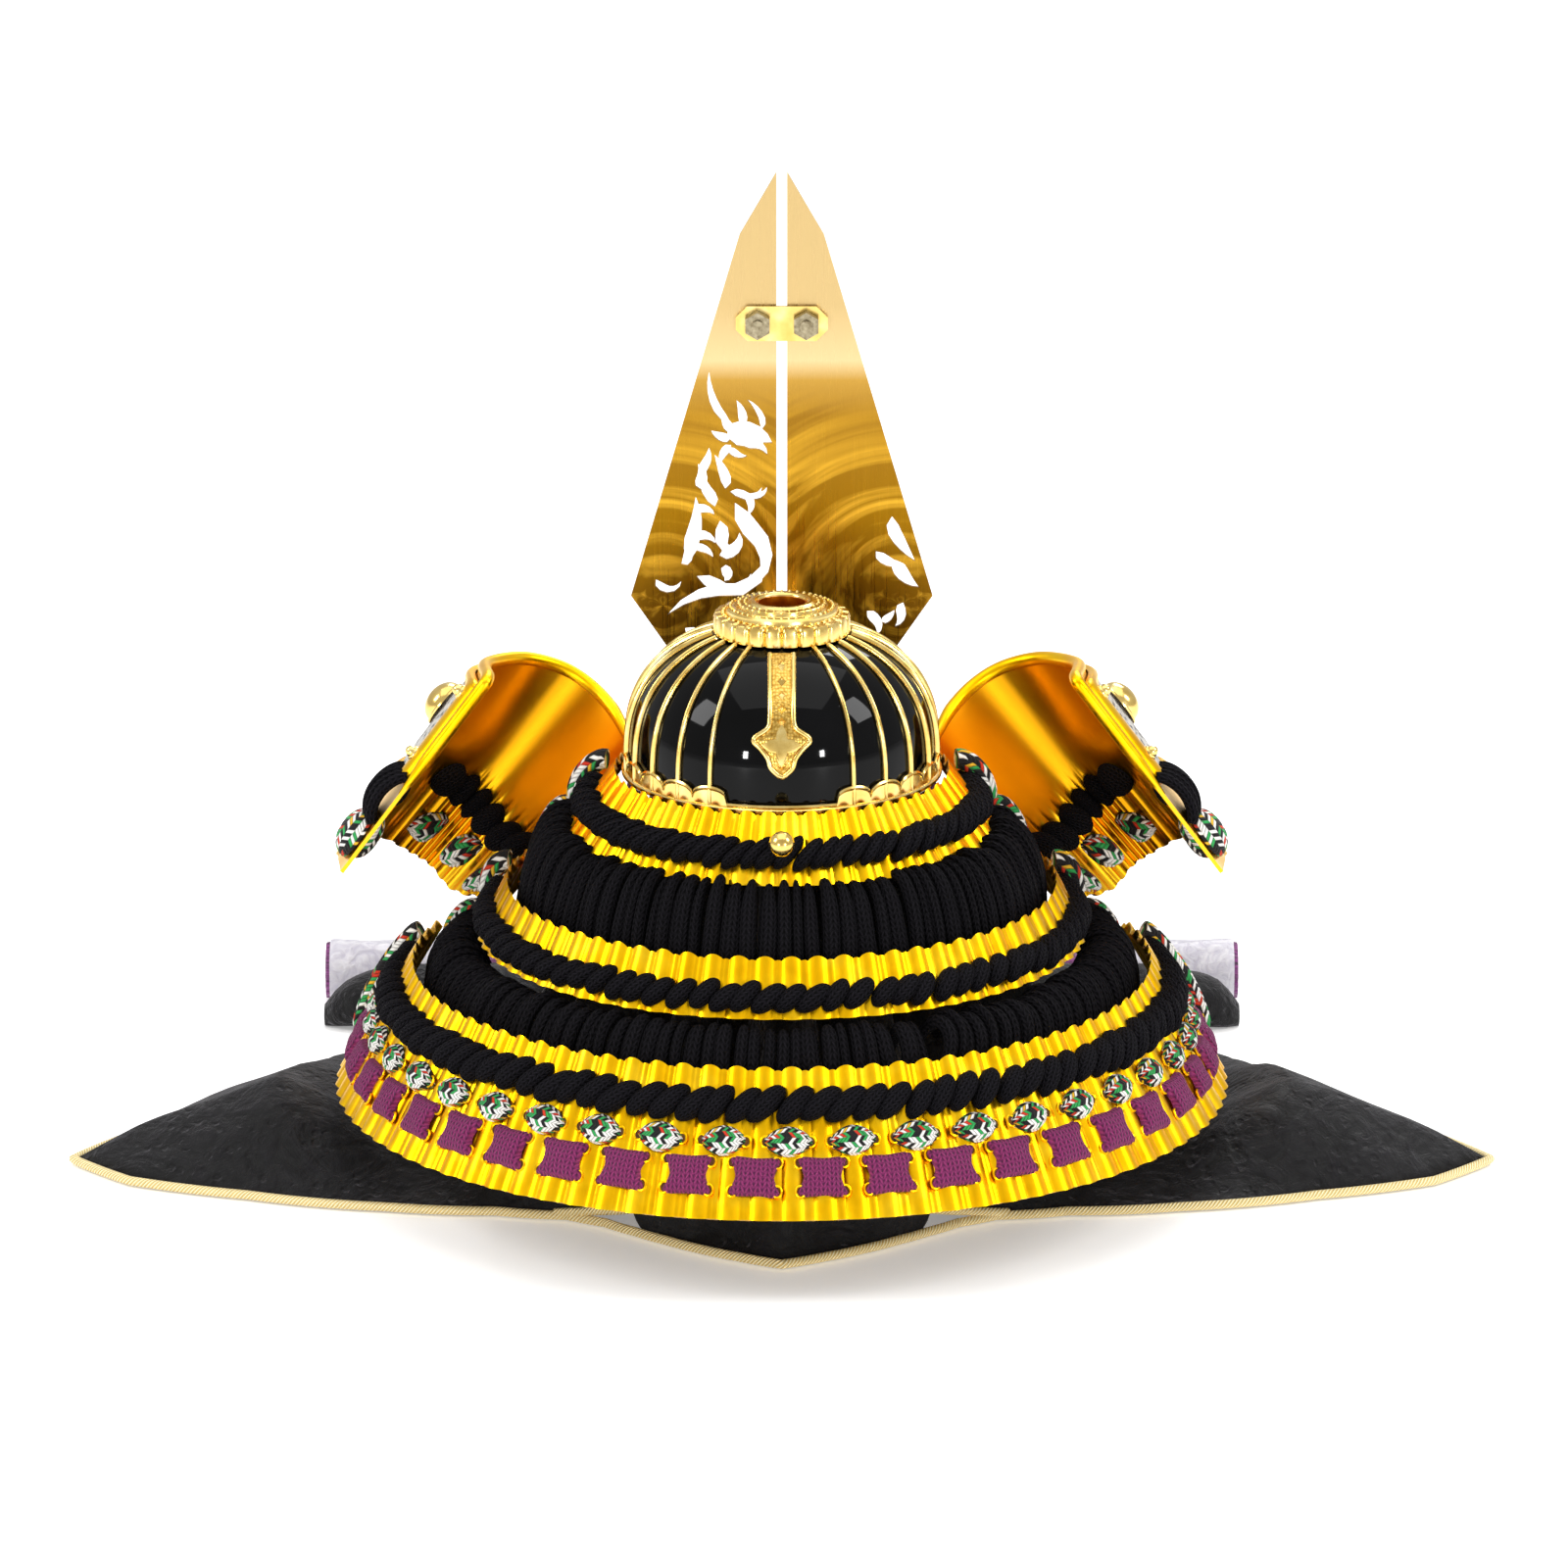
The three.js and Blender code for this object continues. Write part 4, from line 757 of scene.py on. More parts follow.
steel = finish("steel", "8C857E", 0.38, 1.0)
tree = steel.node_tree
scuffs = grain(tree, place(tree), 900, 5)
feed(steel, "Base Color", ramp(tree, scuffs, (0.3, "75694F"), (0.7, "B3A88C")))
feed(steel, "Roughness", spread(tree, scuffs, 0.25, 0.5))

for name, material in (("crest_blade_left", bronze_gold), ("crest_blade_right", bronze_gold),
                       ("crest_bracket", pale_gold), ("crest_nut_left", steel), ("crest_nut_right", steel),
                       ("crest_socket", pale_gold)):
    nodes[name].data.materials.clear()
    nodes[name].data.materials.append(material)

# ---- Lames of the neck guard
# Three flaring bands of thin brass, pressed into rows of narrow scales that overlap like roof tiles
# and plated a strong yellow gold. They hang from each other by the silk lacing.

# lame: top radius and z, bottom radius and z, half span in degrees, scales
LAMES = {1: (37.8, 93.6, 47.5, 80.4, 115, 32), 2: (62.0, 67.5, 68.2, 56.1, 112, 42),
         3: (83.4, 49.0, 100.4, 20.5, 110, 54)}
LAME_WALL, SCALE_STEPS = 0.9, 12
SCALE_RELIEF = {1: 0.8, 2: 0.8, 3: 0.95}
TOOTH_TOP, TOOTH_SHOULDER, TOOTH_FOOT = -0.9, -0.4, 0.35     # rise and fall of the saw-tooth edges

yellow_gold = finish("yellow_gold", "FBBC08", 0.25, 1.0)
tree = yellow_gold.node_tree
patina = grain(tree, place(tree), 120, 4, 0.55)
feed(yellow_gold, "Base Color", ramp(tree, patina, (0.25, "F6B404"), (0.5, "FFC50C"), (0.8, "FFD224")))
feed(yellow_gold, "Roughness", spread(tree, grain(tree, place(tree), 300, 3), 0.29, 0.38))
bump(yellow_gold, grain(tree, place(tree), 160, 1), 0.015)


def lame_slope(lame):
    r0, z0, r1, z1 = LAMES[lame][:4]
    return math.hypot(r1 - r0, z0 - z1)


def lame_point(lame, down, out):
    """(r, z) on a lame, down mm below its top edge along the slope and out mm off its face."""
    r0, z0, r1, z1 = LAMES[lame][:4]
    slope = lame_slope(lame)
    along_r, along_z = (r1 - r0) / slope, (z1 - z0) / slope
    return r0 + along_r * down - along_z * out, z0 + along_z * down + along_r * out


def on_lame(lame, azimuth, down, out):
    r, z = lame_point(lame, down, out)
    return polar(r, azimuth, z)


def flute(share):
    """Relief of one pressed scale: a broad rounded part and a narrow flat one, 0 to 1."""
    if share < 0.74:
        return math.sin(math.pi * share / 0.74) ** 0.75
    return 0.22 * math.sin(math.pi * (share - 0.74) / 0.26) ** 0.6


def lame_band(lame):
    """One lame, pressed scale by scale."""
    span, scales = LAMES[lame][4:]
    bottom = lame_slope(lame)
    teeth = [(0, TOOTH_TOP), (0.25, TOOTH_TOP), (0.8, TOOTH_TOP), (1.6, TOOTH_SHOULDER), (bottom * 0.4, 0),
             (bottom * 0.7, 0), (bottom - 1.2, 0), (bottom - 0.4, TOOTH_FOOT), (bottom, TOOTH_FOOT)]
    rows = []
    for k in range(scales * SCALE_STEPS + 1):
        azimuth = -span + 2 * span * k / (scales * SCALE_STEPS)
        high = flute((k % SCALE_STEPS) / SCALE_STEPS)
        out = SCALE_RELIEF[lame] * (high - 0.5)
        face = [on_lame(lame, azimuth, down + tooth * high, out) for down, tooth in teeth]
        back = [on_lame(lame, azimuth, down, out - LAME_WALL) for down in (bottom, bottom * 0.5, 0.3)]
        rows.append(face + back)
    return loft(rows, ring=True, capped=True)


for lame in LAMES:
    piece(lame_band(lame), f"lame_{lame}", yellow_gold, f"neck_lame_{lame}", slot="yellow_gold", crease=50)

# ---- Ropes on the lames
# Under each lame's top edge lies a row of thick black knitted cord, wound so that its turns lean
# one way like a twisted rope. The top one is drawn tight and almost smooth.

ROPES = {1: (9.4, 6.2, 3.2, 44), 2: (8.4, 5.6, 2.7, 50), 3: (7.9, 6.8, 3.2, 60)}
# lame: down, width, height, turns
ROPE_SPAN, ROPE_LEAN = 108, 43
SCALE_DEPTH = 0.5


def knitted(material, dark, light, loop, depth):
    """Rows of small knitted loops of loop mm, with loose fuzz on them and painted shade between the loops."""
    tree = material.node_tree
    along, around = surface_mm(tree)
    across = maths(tree, "PINGPONG", around, loop * 0.8)
    lean = maths(tree, "MULTIPLY_ADD", across, 1.3, along)
    loops = maths(tree, "SINE", maths(tree, "MULTIPLY", lean, 2 * math.pi / loop))
    seams = maths(tree, "SINE", maths(tree, "MULTIPLY", across, math.pi / (loop * 0.8)))
    fuzz = grain(tree, place(tree), 2200, 3, 0.7)
    weave = maths(tree, "ADD", maths(tree, "MULTIPLY", loops, 0.3), maths(tree, "MULTIPLY", seams, 0.7))
    height = maths(tree, "MULTIPLY_ADD", fuzz, 0.9, weave)
    bump(material, height, depth)
    # Painted shade and highlight: the colour follows the loops' relief, dark in the grooves and lighter on
    # the loops.
    painted_shade = maths(tree, "MULTIPLY", height, 0.5)
    feed(material, "Base Color", ramp(tree, painted_shade, (0.1, dark), (0.7, light)))


knit_black = finish("knit_black", "0E0D11", 0.85, Specular_IOR_Level=0.06)
knitted(knit_black, "000000", "1D1B20", 1.2, 0.75)


def copies(unit, count, put):
    """count copies of a small bmesh in one, each vertex moved by put(copy number, point)."""
    mesh = bpy.data.meshes.new("unit")
    unit.to_mesh(mesh)
    unit.free()
    whole, size = bmesh.new(), len(mesh.vertices)
    for _ in range(count):
        whole.from_mesh(mesh)
    for i, v in enumerate(whole.verts):
        v.co = put(i // size, v.co)
    bpy.data.meshes.remove(mesh)
    return whole


def pill(long, wide, tall, blunt=0.75, rows=14, sides=14):
    """Blunt closed pillow along X with a flattened underside; long, wide and tall are full sizes."""
    sections = []
    for x in evenly(-1, 1, rows):
        x = math.sin(x * math.pi / 2)
        swell = max(0.02, (1 - abs(x) ** 2.4)) ** 0.5
        section = []
        for t in turns_of(sides):
            c, s = math.cos(t), math.sin(t)
            y = math.copysign(abs(c) ** blunt, c) * swell * wide / 2
            z = (math.copysign(abs(s) ** blunt, s) * (1 if s > 0 else 0.15)) * swell * tall
            section.append((x * long / 2, y, z))
        sections.append(section)
    return loft(sections, ring=True, capped=True)


def rope_row(lame):
    """Leaning turns of cord side by side, none quite like the next."""
    down, width, height, turns = ROPES[lame]
    drawn = random.Random(lame)
    pitch = 2 * ROPE_SPAN / turns
    wobble = [(drawn.uniform(-0.12, 0.12) * pitch, drawn.uniform(0.9, 1.1), drawn.uniform(-7, 7),
               drawn.uniform(-0.7, 0.7)) for _ in range(turns)]
    foot_r = lame_point(lame, down, 0)[0]

    def put(copy, p):
        shift, grow, tilt, sink = wobble[copy]
        a = math.radians(ROPE_LEAN + tilt)
        x = (p.x * math.cos(a) + p.y * math.sin(a)) * grow
        y = -p.x * math.sin(a) + p.y * math.cos(a)
        low = max(-1, min(1, y / (width / 2)))
        azimuth = -ROPE_SPAN + pitch * (copy + 0.5) + shift
        return on_lame(lame, azimuth + math.degrees(x / (foot_r + height / 2)), down + y + sink * 0.6,
                       SCALE_DEPTH / 2 + 0.15 + p.z + 0.25 * low)

    unit = pill(width * 1.6, math.radians(pitch) * foot_r * 0.92, height + 0.4, 0.85)
    return copies(unit, turns, put)


for lame in ROPES:
    piece(rope_row(lame), f"knitted_rope_{lame}", knit_black, f"rope_{lame}", slot="black_cord")

BEAD_RADIUS, BEAD_OUT = 2.85, 7.45
knob_r, knob_z = lame_point(1, ROPES[1][0], BEAD_OUT)
bm = bmesh.new()
bmesh.ops.create_uvsphere(bm, u_segments=32, v_segments=20, radius=BEAD_RADIUS)
bmesh.ops.translate(bm, vec=(0, -knob_r, knob_z), verts=bm.verts)
piece(bm, "rope_bead", pale_gold, "rope_knob", slot="pale_gold")

# ---- Lacing between the lames
# Flat black braids, knitted in a herringbone, pulled out from under one lame's lower edge in a fat
# loop and drawn down side by side over the next lame.

herringbone = finish("herringbone_black", "0E0D11", 0.85, Specular_IOR_Level=0.06)
knitted(herringbone, "000000", "19171B", 1.35, 0.75)

# lacing: route down a strand as radius and z, strands
LACINGS = {
    1: (((46.9, 77.0), (48.2, 79.7), (50.7, 80.0), (53.3, 77.8), (55.5, 73.6), (57.0, 68.6),
         (57.8, 62.6)), 60),
    2: (((67.9, 49.4), (69.2, 52.1), (71.6, 53.6), (74.4, 52.8), (76.8, 50.3), (78.2, 47.2),
         (78.8, 43.2)), 88),
}
STRAND_WIDTHS = (0.75, 0.85, 1.0, 1.05, 1.2, 1.4)
STRAND_HALF_THICK = 1.9
FALLEN_LACING, FALLEN_FROM, FALLEN_TO, FALLEN_LEAN = 2, 24, 84, 3.4


def lacing_route(lacing, steps):
    return rope_line([(r, 0, z) for r, z in LACINGS[lacing][0]], steps)


def lacing_strand(line, middle, half, lean, bulge, lift):
    """Flat strand down the line at azimuth middle, gathered at its top; half is its half width in
    degrees, bulge pushes its belly out and lift raises its top."""
    rows = []
    for i, (r, z) in enumerate(line):
        share = i / (len(line) - 1)
        before, after = line[max(0, i - 1)], line[min(len(line) - 1, i + 1)]
        ahead = Vector((after[0] - before[0], 0, after[1] - before[1])).normalized()
        narrow = 0.98 * min(1, 0.25 + 0.75 * (share / 0.42) ** 0.7)
        reflection_bands = lean * math.sin(math.pi * share) * (1 - 0.3 * share)
        row = []
        for t in turns_of(12):
            c, s = math.cos(t), math.sin(t)
            wide = math.copysign(abs(c) ** 0.8, c) * narrow * half * 1.04
            thick = STRAND_HALF_THICK * s * (1.1 if s > 0 else 0.6)
            out = thick + bulge * math.sin(math.pi * share)
            row.append(polar(r - ahead.z * out, middle + wide + reflection_bands,
                             z + ahead.x * out + lift * (1 - share) ** 2))
        rows.append(row)
    return loft(rows, ring=True, capped=True)


def lacing_rows(lacing, count):
    """Strands of uneven width side by side; one stretch of the lower lacing has slumped sideways."""
    drawn = random.Random(20 + lacing)
    line = [(p.x, p.z) for p in lacing_route(lacing, 26)]
    edges = [0.0]
    for _ in range(count):
        edges.append(edges[-1] + drawn.choice(STRAND_WIDTHS))
    edges = [-ROPE_SPAN + 2 * ROPE_SPAN * e / edges[-1] for e in edges]
    strands = []
    for start, stop in zip(edges, edges[1:]):
        middle = (start + stop) / 2
        lean, bulge, lift = drawn.uniform(-0.7, 0.7), drawn.uniform(-0.9, 0.6), drawn.uniform(-1.6, 1.3)
        lean += FALLEN_LEAN if lacing == FALLEN_LACING and FALLEN_FROM < middle < FALLEN_TO else 0
        strands.append(lacing_strand(line, middle, (stop - start) / 2, lean, bulge, lift))
    return merged(strands)


for lacing, (_, count) in LACINGS.items():
    piece(lacing_rows(lacing, count), f"herringbone_lacing_{lacing}", herringbone, f"lacing_{lacing}",
          slot="black_cord")

# ---- Stitches on the lowest lame
# Short stitches of a round four-colour braid, and below them cross stitches of thick purple cord,
# each pair of ends passed through small rimmed holes in the lame.

def four_colour(name, strand, depth):
    """Braid of short slanted strands in white, black, red, green and a little yellow, set like bricks."""
    made = finish(name, "E8E4DC", 0.75, Sheen_Weight=0.05, Sheen_Roughness=0.4, Specular_IOR_Level=0.2)
    tree = made.node_tree
    along, around = surface_mm(tree)
    column_width = strand * 1.6
    shifted = maths(tree, "ADD", around, strand * 0.3)
    fold = maths(tree, "PINGPONG", shifted, column_width)
    column = maths(tree, "FLOOR", maths(tree, "DIVIDE", shifted, column_width))
    cell = maths(tree, "DIVIDE", maths(tree, "MULTIPLY_ADD", fold, 0.7, along), strand)
    key = node(tree, "CombineXYZ", {0: maths(tree, "FLOOR", cell), 1: column}).outputs[0]
    draw = node(tree, "TexWhiteNoise", {"Vector": key}, noise_dimensions="2D").outputs["Value"]
    colours = ramp(tree, draw, (0, "F2F0EA"), (0.34, "111114"), (0.66, "C8331A"), (0.80, "2C9A4E"),
                   (0.94, "E3B12A"))
    colours.node.color_ramp.interpolation = "CONSTANT"
    round_top = maths(tree, "SINE", maths(tree, "MULTIPLY", maths(tree, "FRACT", cell), math.pi))
    edge = maths(tree, "SINE", maths(tree, "MULTIPLY", fold, math.pi / column_width))
    height = maths(tree, "MULTIPLY", maths(tree, "POWER", round_top, 0.5),
                   maths(tree, "MULTIPLY_ADD", edge, 0.5, 0.5))
    bump(made, maths(tree, "MULTIPLY_ADD", grain(tree, place(tree), 3000, 2), 0.2, height), depth)
    # Painted shade: the strand colours are mixed towards a dark brown in the grooves between strands.
    groove_shade = maths(tree, "MULTIPLY_ADD", height, -0.55, 0.55)
    painted_shade = node(tree, "Mix", {"Factor": groove_shade}, data_type="RGBA")
    tree.links.new(colours, painted_shade.inputs[6])
    painted_shade.inputs[7].default_value = rgb("2A2420")
    feed(made, "Base Color", painted_shade.outputs[2])
    return made


mixed_braid = four_colour("mixed_braid", 0.82, 0.4)
knit_purple = finish("knit_purple", "7A2A54", 0.85, Sheen_Weight=0.06, Sheen_Roughness=0.45,
                     Specular_IOR_Level=0.15)
knitted(knit_purple, "421038", "8E3266", 1.15, 0.5)

STITCH_PITCH = 8.8
MIXED_ROW = (15.9, 25, -104.7)      # mm down the lame, stitches, azimuth of the first
PURPLE_ROW = (23.8, 24, -100.3)
LOZENGE = (5.4, 3.4, 2.5)           # half length, half width, height
CROSS = (6.1, 4.7, 2.2)
EYELET_HALF = (1.0, 1.25)           # half sizes of a hole's rim


def lame_row(unit, row, seed, tilt):
    """Stitches seated along the lowest lame; X runs round it, Y down it and Z out."""
    down, count, first = row
    drawn = random.Random(seed)
    turned = [math.radians(drawn.uniform(-tilt, tilt)) for _ in range(count)]
    grown = [drawn.uniform(0.94, 1.05) for _ in range(count)]
    row_r = lame_point(3, down, 0)[0]

    def put(copy, p):
        c, s = math.cos(turned[copy]), math.sin(turned[copy])
        x, y = (p.x * c - p.y * s) * grown[copy], p.x * s + p.y * c
        azimuth = first + copy * STITCH_PITCH + math.degrees(x / row_r)
        return on_lame(3, azimuth, down + y, SCALE_DEPTH / 2 + 0.2 + p.z)

    return copies(unit, count, put)


def lozenge():
    """Stitch that is fattest in the middle and dives into a hole at each end."""
    long, wide, tall = LOZENGE
    sections = []
    for x in evenly(-1, 1, 18):
        swell = max(0.05, math.cos(x * math.pi / 2 * 0.97)) ** 0.8
        dive = 0.9 * abs(x) ** 5
        sections.append([(long * x, wide * swell * math.cos(t),
                          tall * swell ** 0.8 * max(-0.15, math.sin(t)) - dive) for t in turns_of(18)])
    return loft(sections, ring=True, capped=True)


def cross_stitch():
    """Pillow with pulled-in sides, four rounded corners and a low ridge along each diagonal."""
    long, wide, tall = CROSS
    bm = bmesh.new()
    bmesh.ops.create_grid(bm, x_segments=16, y_segments=14, size=1, calc_uvs=False)
    uv = bm.loops.layers.uv.new("UVMap")
    for v in bm.verts:
        x, y = v.co.x, v.co.y
        round_x, round_y = x * (1 - 0.1 * abs(y) ** 7), y * (1 - 0.12 * abs(x) ** 7)
        pinch = 1 - 0.32 * (1 - abs(y) ** 1.5) * abs(x)
        waist = 1 - 0.1 * (1 - abs(x) ** 1.5) * abs(y)
        rise = (1 - abs(x) ** 3.2) ** 0.5 * (1 - abs(y) ** 3.2) ** 0.5
        ridge = 0.12 * math.exp(-((x - y) / 0.35) ** 2) + 0.1 * math.exp(-((x + y) / 0.35) ** 2)
        v.co = (long * round_x * pinch, wide * round_y * waist, tall * rise * (0.85 + ridge) - 0.1)
    for face in bm.faces:
        for loop in face.loops:
            loop[uv].uv = (loop.vert.co.y, loop.vert.co.x)
    under = bmesh.ops.extrude_face_region(bm, geom=bm.faces[:])["geom"]
    for v in under:
        if isinstance(v, bmesh.types.BMVert):
            v.co.z = -0.15
    return bm


piece(lame_row(lozenge(), MIXED_ROW, seed=5, tilt=5), "mixed_stitches", mixed_braid, "stitches_mixed",
      slot="mixed_cord")
piece(lame_row(cross_stitch(), PURPLE_ROW, seed=6, tilt=3), "purple_cross_stitches", knit_purple,
      "stitches_purple", slot="purple_cord")


def oval_on_lame(azimuth, down, half_wide, half_tall, out):
    """Oval on the lowest lame, out mm off its face."""
    half_turn = math.degrees(half_wide / lame_point(3, down, 0)[0])
    return [on_lame(3, azimuth + half_turn * math.cos(t), down + half_tall * math.sin(t), out)
            for t in turns_of(14)]


def eyelets():
    """Hole rims, with a dark disc of painted shade in each: one at each end of a mixed stitch, two of a
    purple one.
    """
    rims, shade_discs = [], []
    wide, tall = EYELET_HALF
    for (down, count, first), reach, offsets in ((MIXED_ROW, 4.9, (0,)), (PURPLE_ROW, 4.9, (-3.2, 3.2))):
        for k in range(count):
            for x, y in [(x, y) for x in (-reach, reach) for y in offsets]:
                azimuth = first + k * STITCH_PITCH + math.degrees(x / lame_point(3, down + y, 0)[0])
                ring = oval_on_lame(azimuth, down + y, wide, tall, 0.52)
                rims.append(tube(ring + ring[:1], 0.28, 6))
                shade_disc = bmesh.new()
                hole = oval_on_lame(azimuth, down + y, wide - 0.1, tall - 0.15, 0.5)
                shade_disc.faces.new([shade_disc.verts.new(p) for p in hole])
                bmesh.ops.solidify(shade_disc, geom=shade_disc.faces[:], thickness=0.2)
                shade_discs.append(shade_disc)
    return merged(rims), merged(shade_discs)


# Painted shade: a dark brown disc sits in each hole, standing for the shade inside it.
hole_shade = finish("hole_shade", "6B3E08", 0.7)
tree = hole_shade.node_tree
feed(hole_shade, "Base Color", ramp(tree, grain(tree, place(tree), 900), (0.3, "553006"), (0.7, "7D4B0C")))
hole_rims, hole_shade_discs = eyelets()
piece(hole_rims, "stitch_hole_rims", yellow_gold, slot="yellow_gold")
piece(hole_shade_discs, "stitch_hole_shade", hole_shade, slot="yellow_gold")

# ---- Edge braids
# The same four-colour braid binds the ends of every lame: it runs down each end beside the ropes
# and the lacing, and is tucked in behind.

LAME_ENDS = ((1, 3.4, 15.6), (2, 2.6, 12.4), (3, 3.2, 31.5))     # lame, first and last mm down it
EDGE_SIDES, EDGE_FLAT = 14, 1.25

edge_parts = []
for side in (1, -1):
    for lame, start, stop in LAME_ENDS:
        line = [on_lame(lame, side * (ROPE_SPAN + 0.5), d, 2.2 + 2.2 * math.sin(math.pi * k / 30) ** 0.6)
                for k, d in enumerate(evenly(start, stop, 30))]
        edge_parts.append(tube(line, 1.9, EDGE_SIDES, EDGE_FLAT))
    for lacing in LACINGS:
        line = [polar(p.x + 1.2, side * (ROPE_SPAN + 0.6), p.z + 0.8) for p in lacing_route(lacing, 30)]
        edge_parts.append(tube(line, 2.0, EDGE_SIDES, EDGE_FLAT))
edge_braid = four_colour("edge_braid_mixed", 0.95, 0.35)
piece(merged(edge_parts), "edge_braids", edge_braid, slot="mixed_cord")

# ---- Turn-backs
# The lames' ends are bent forward and rolled outwards into a wing on each side. The wing is one gold
# plate with a thick rolled rim above; its face carries a framed panel of printed leather with a domed
# boss and two rivets, and black cord is stitched over its fluted lower part.

# top x, y, z, bottom x, y, z; from the lames to the free edge
TURNBACK_COLUMNS = [
    (33.0, 20.0, 92.0, 62.0, 30.0, 54.0), (35.0, 30.0, 93.0, 68.0, 38.0, 52.0),
    (38.5, 38.0, 97.0, 75.6, 45.0, 52.0), (44.0, 43.0, 101.5, 81.0, 50.0, 56.7),
    (50.0, 44.5, 105.0, 86.0, 50.0, 60.0), (58.5, 41.5, 108.2, 92.6, 43.5, 65.3),
    (67.0, 29.0, 110.4, 100.4, 29.0, 66.6), (66.2, 8.0, 112.4, 99.8, 8.0, 67.2)]
TURNBACK_WALL, WING_FLUTES, FLUTE_RELIEF = 0.9, 15, 0.9
WING_LONG, WING_TALL = 80, 57             # mm along and down the wing, for a stitch set on it
ROLL_RADIUS, ROLL_AXIS, ROLL_END_V = 1.55, -0.45, 0.6
FACE_U, FACE_V, FACE_CORNER = (0.714, 0.985), (0.04, 0.58), 0.03
FACE_SECTION = ((0, 0.5), (0.001, 1.3), (0.006, 1.85), (0.018, 2.1), (0.029, 1.85), (0.034, 1.35),
                (0.042, 1.3), (0.045, 0.9), (0.045, 0.5))        # share inside the outline, mm out
LEATHER_INSET_U, LEATHER_INSET_V, LEATHER_SWELL = 0.046, 0.056, 0.35
RIVETS = ((0.12, "upper"), (0.44, "lower"))


def calm_curve(points):
    """Smooth curve through points whose bends don't overshoot between close ones."""
    points = [Vector(p) for p in points]
    ends = [2 * points[0] - points[1], *points, 2 * points[-1] - points[-2]]

    def at(share):
        place_on = max(0.0, min(len(points) - 1, share * (len(points) - 1)))
        i = min(len(points) - 2, int(place_on))
        w = place_on - i
        a, b, c, d = ends[i:i + 4]
        t0, t1, t2 = (max(1e-4, (q - p).length ** 0.5) for p, q in ((a, b), (b, c), (c, d)))
        m1 = ((b - a) / t0 - (c - a) / (t0 + t1) + (c - b) / t1) * t1
        m2 = ((c - b) / t1 - (d - b) / (t1 + t2) + (d - c) / t2) * t1
        return (b + m1 * w + (-3 * b + 3 * c - 2 * m1 - m2) * w ** 2 + (2 * b - 2 * c + m1 + m2) * w ** 3)

    return at


wing_top = calm_curve([c[:3] for c in TURNBACK_COLUMNS])
wing_bottom = calm_curve([c[3:] for c in TURNBACK_COLUMNS])


def wing_point(u, v, out, side=1):
    """Point of the wing: u along it from the lames to the free edge, v down it, out mm off its face."""
    def at(s):
        return wing_top(s).lerp(wing_bottom(s), v)
    along = at(min(1, u + 0.02)) - at(max(0, u - 0.02))
    normal = along.cross(wing_bottom(u) - wing_top(u)).normalized()
    p = at(u) + normal * out
    return Vector((side * p.x, p.y, p.z))


def wing_plate(side):
    """Plate with upright flutes that deepen downwards and scallop its lower edge."""
    rows = []
    vs = [0, 0.02, 0.05] + evenly(0.1, 0.96, 20) + [0.985, 1]
    for u in evenly(0, 1, 264):
        high = flute((u * WING_FLUTES) % 1)
        row = []
        for v in vs:
            deep = max(0.0, min(1, (v - 0.56) / 0.12)) * max(0.0, min(1, (0.93 - u) / 0.06))
            low = 0.015 * (high - 0.5) if v > 0.97 and u < 0.9 else 0
            row.append((v + low, FLUTE_RELIEF * deep * (high - 0.5)))
        outer = [wing_point(u, v, out, side) for v, out in row]
        inner = [wing_point(u, v, out - TURNBACK_WALL, side) for v, out in row[::-1]]
        rows.append(outer + inner)
    return loft(rows, ring=True, capped=True)


def wing_rim(side):
    """Thick roll along the top edge, round the free edge's corner and down it past the framed face."""
    corner, corner_u = 0.03, 0.965
    path = [(u, 0) for u in evenly(0.03, corner_u, 60)]
    path += [(corner_u + corner * math.sin(t), corner * (1 - math.cos(t)))
             for t in evenly(0.2, math.pi / 2, 8)]
    path += [(corner_u + corner, v) for v in evenly(2 * corner, ROLL_END_V, 24)]
    line = [wing_point(u, v, ROLL_AXIS, side) for u, v in path]
    return tube(line, lambda share: ROLL_RADIUS * min(1, 0.5 + 3 * share, 0.35 + 8 * (1 - share)), 14)


def face_loop(grow, out, side):
    """Closed line round the framed face, grow inside its outline."""
    (u0, u1), (v0, v1) = FACE_U, FACE_V
    inset_u, inset_v, long_parts = grow + FACE_CORNER, grow * 1.22 + FACE_CORNER, 12
    corners = ((u1 - inset_u, v0 + inset_v, -90), (u1 - inset_u, v1 - inset_v, 0),
               (u0 + inset_u, v1 - inset_v, 90), (u0 + inset_u, v0 + inset_v, 180))
    loop = []
    for k, (cu, cv, turn) in enumerate(corners):
        arc = [(cu + FACE_CORNER * math.cos(math.radians(t)), cv + FACE_CORNER * math.sin(math.radians(t)))
               for t in evenly(turn, turn + 90, 8)]
        after_u, after_v, after_turn = corners[(k + 1) % 4]
        ua, va = arc[-1]
        ub = after_u + FACE_CORNER * math.cos(math.radians(after_turn))
        vb = after_v + FACE_CORNER * math.sin(math.radians(after_turn))
        loop += arc[:-1] + [(ua + (ub - ua) * i / long_parts, va + (vb - va) * i / long_parts)
                            for i in range(long_parts)]
    return [wing_point(u, v, out, side) for u, v in loop]


def face_frame(side):
    """Half-round bar with a fine step on its inner side."""
    return loft([face_loop(grow, out, side) for grow, out in FACE_SECTION], ring=True, closed=True)


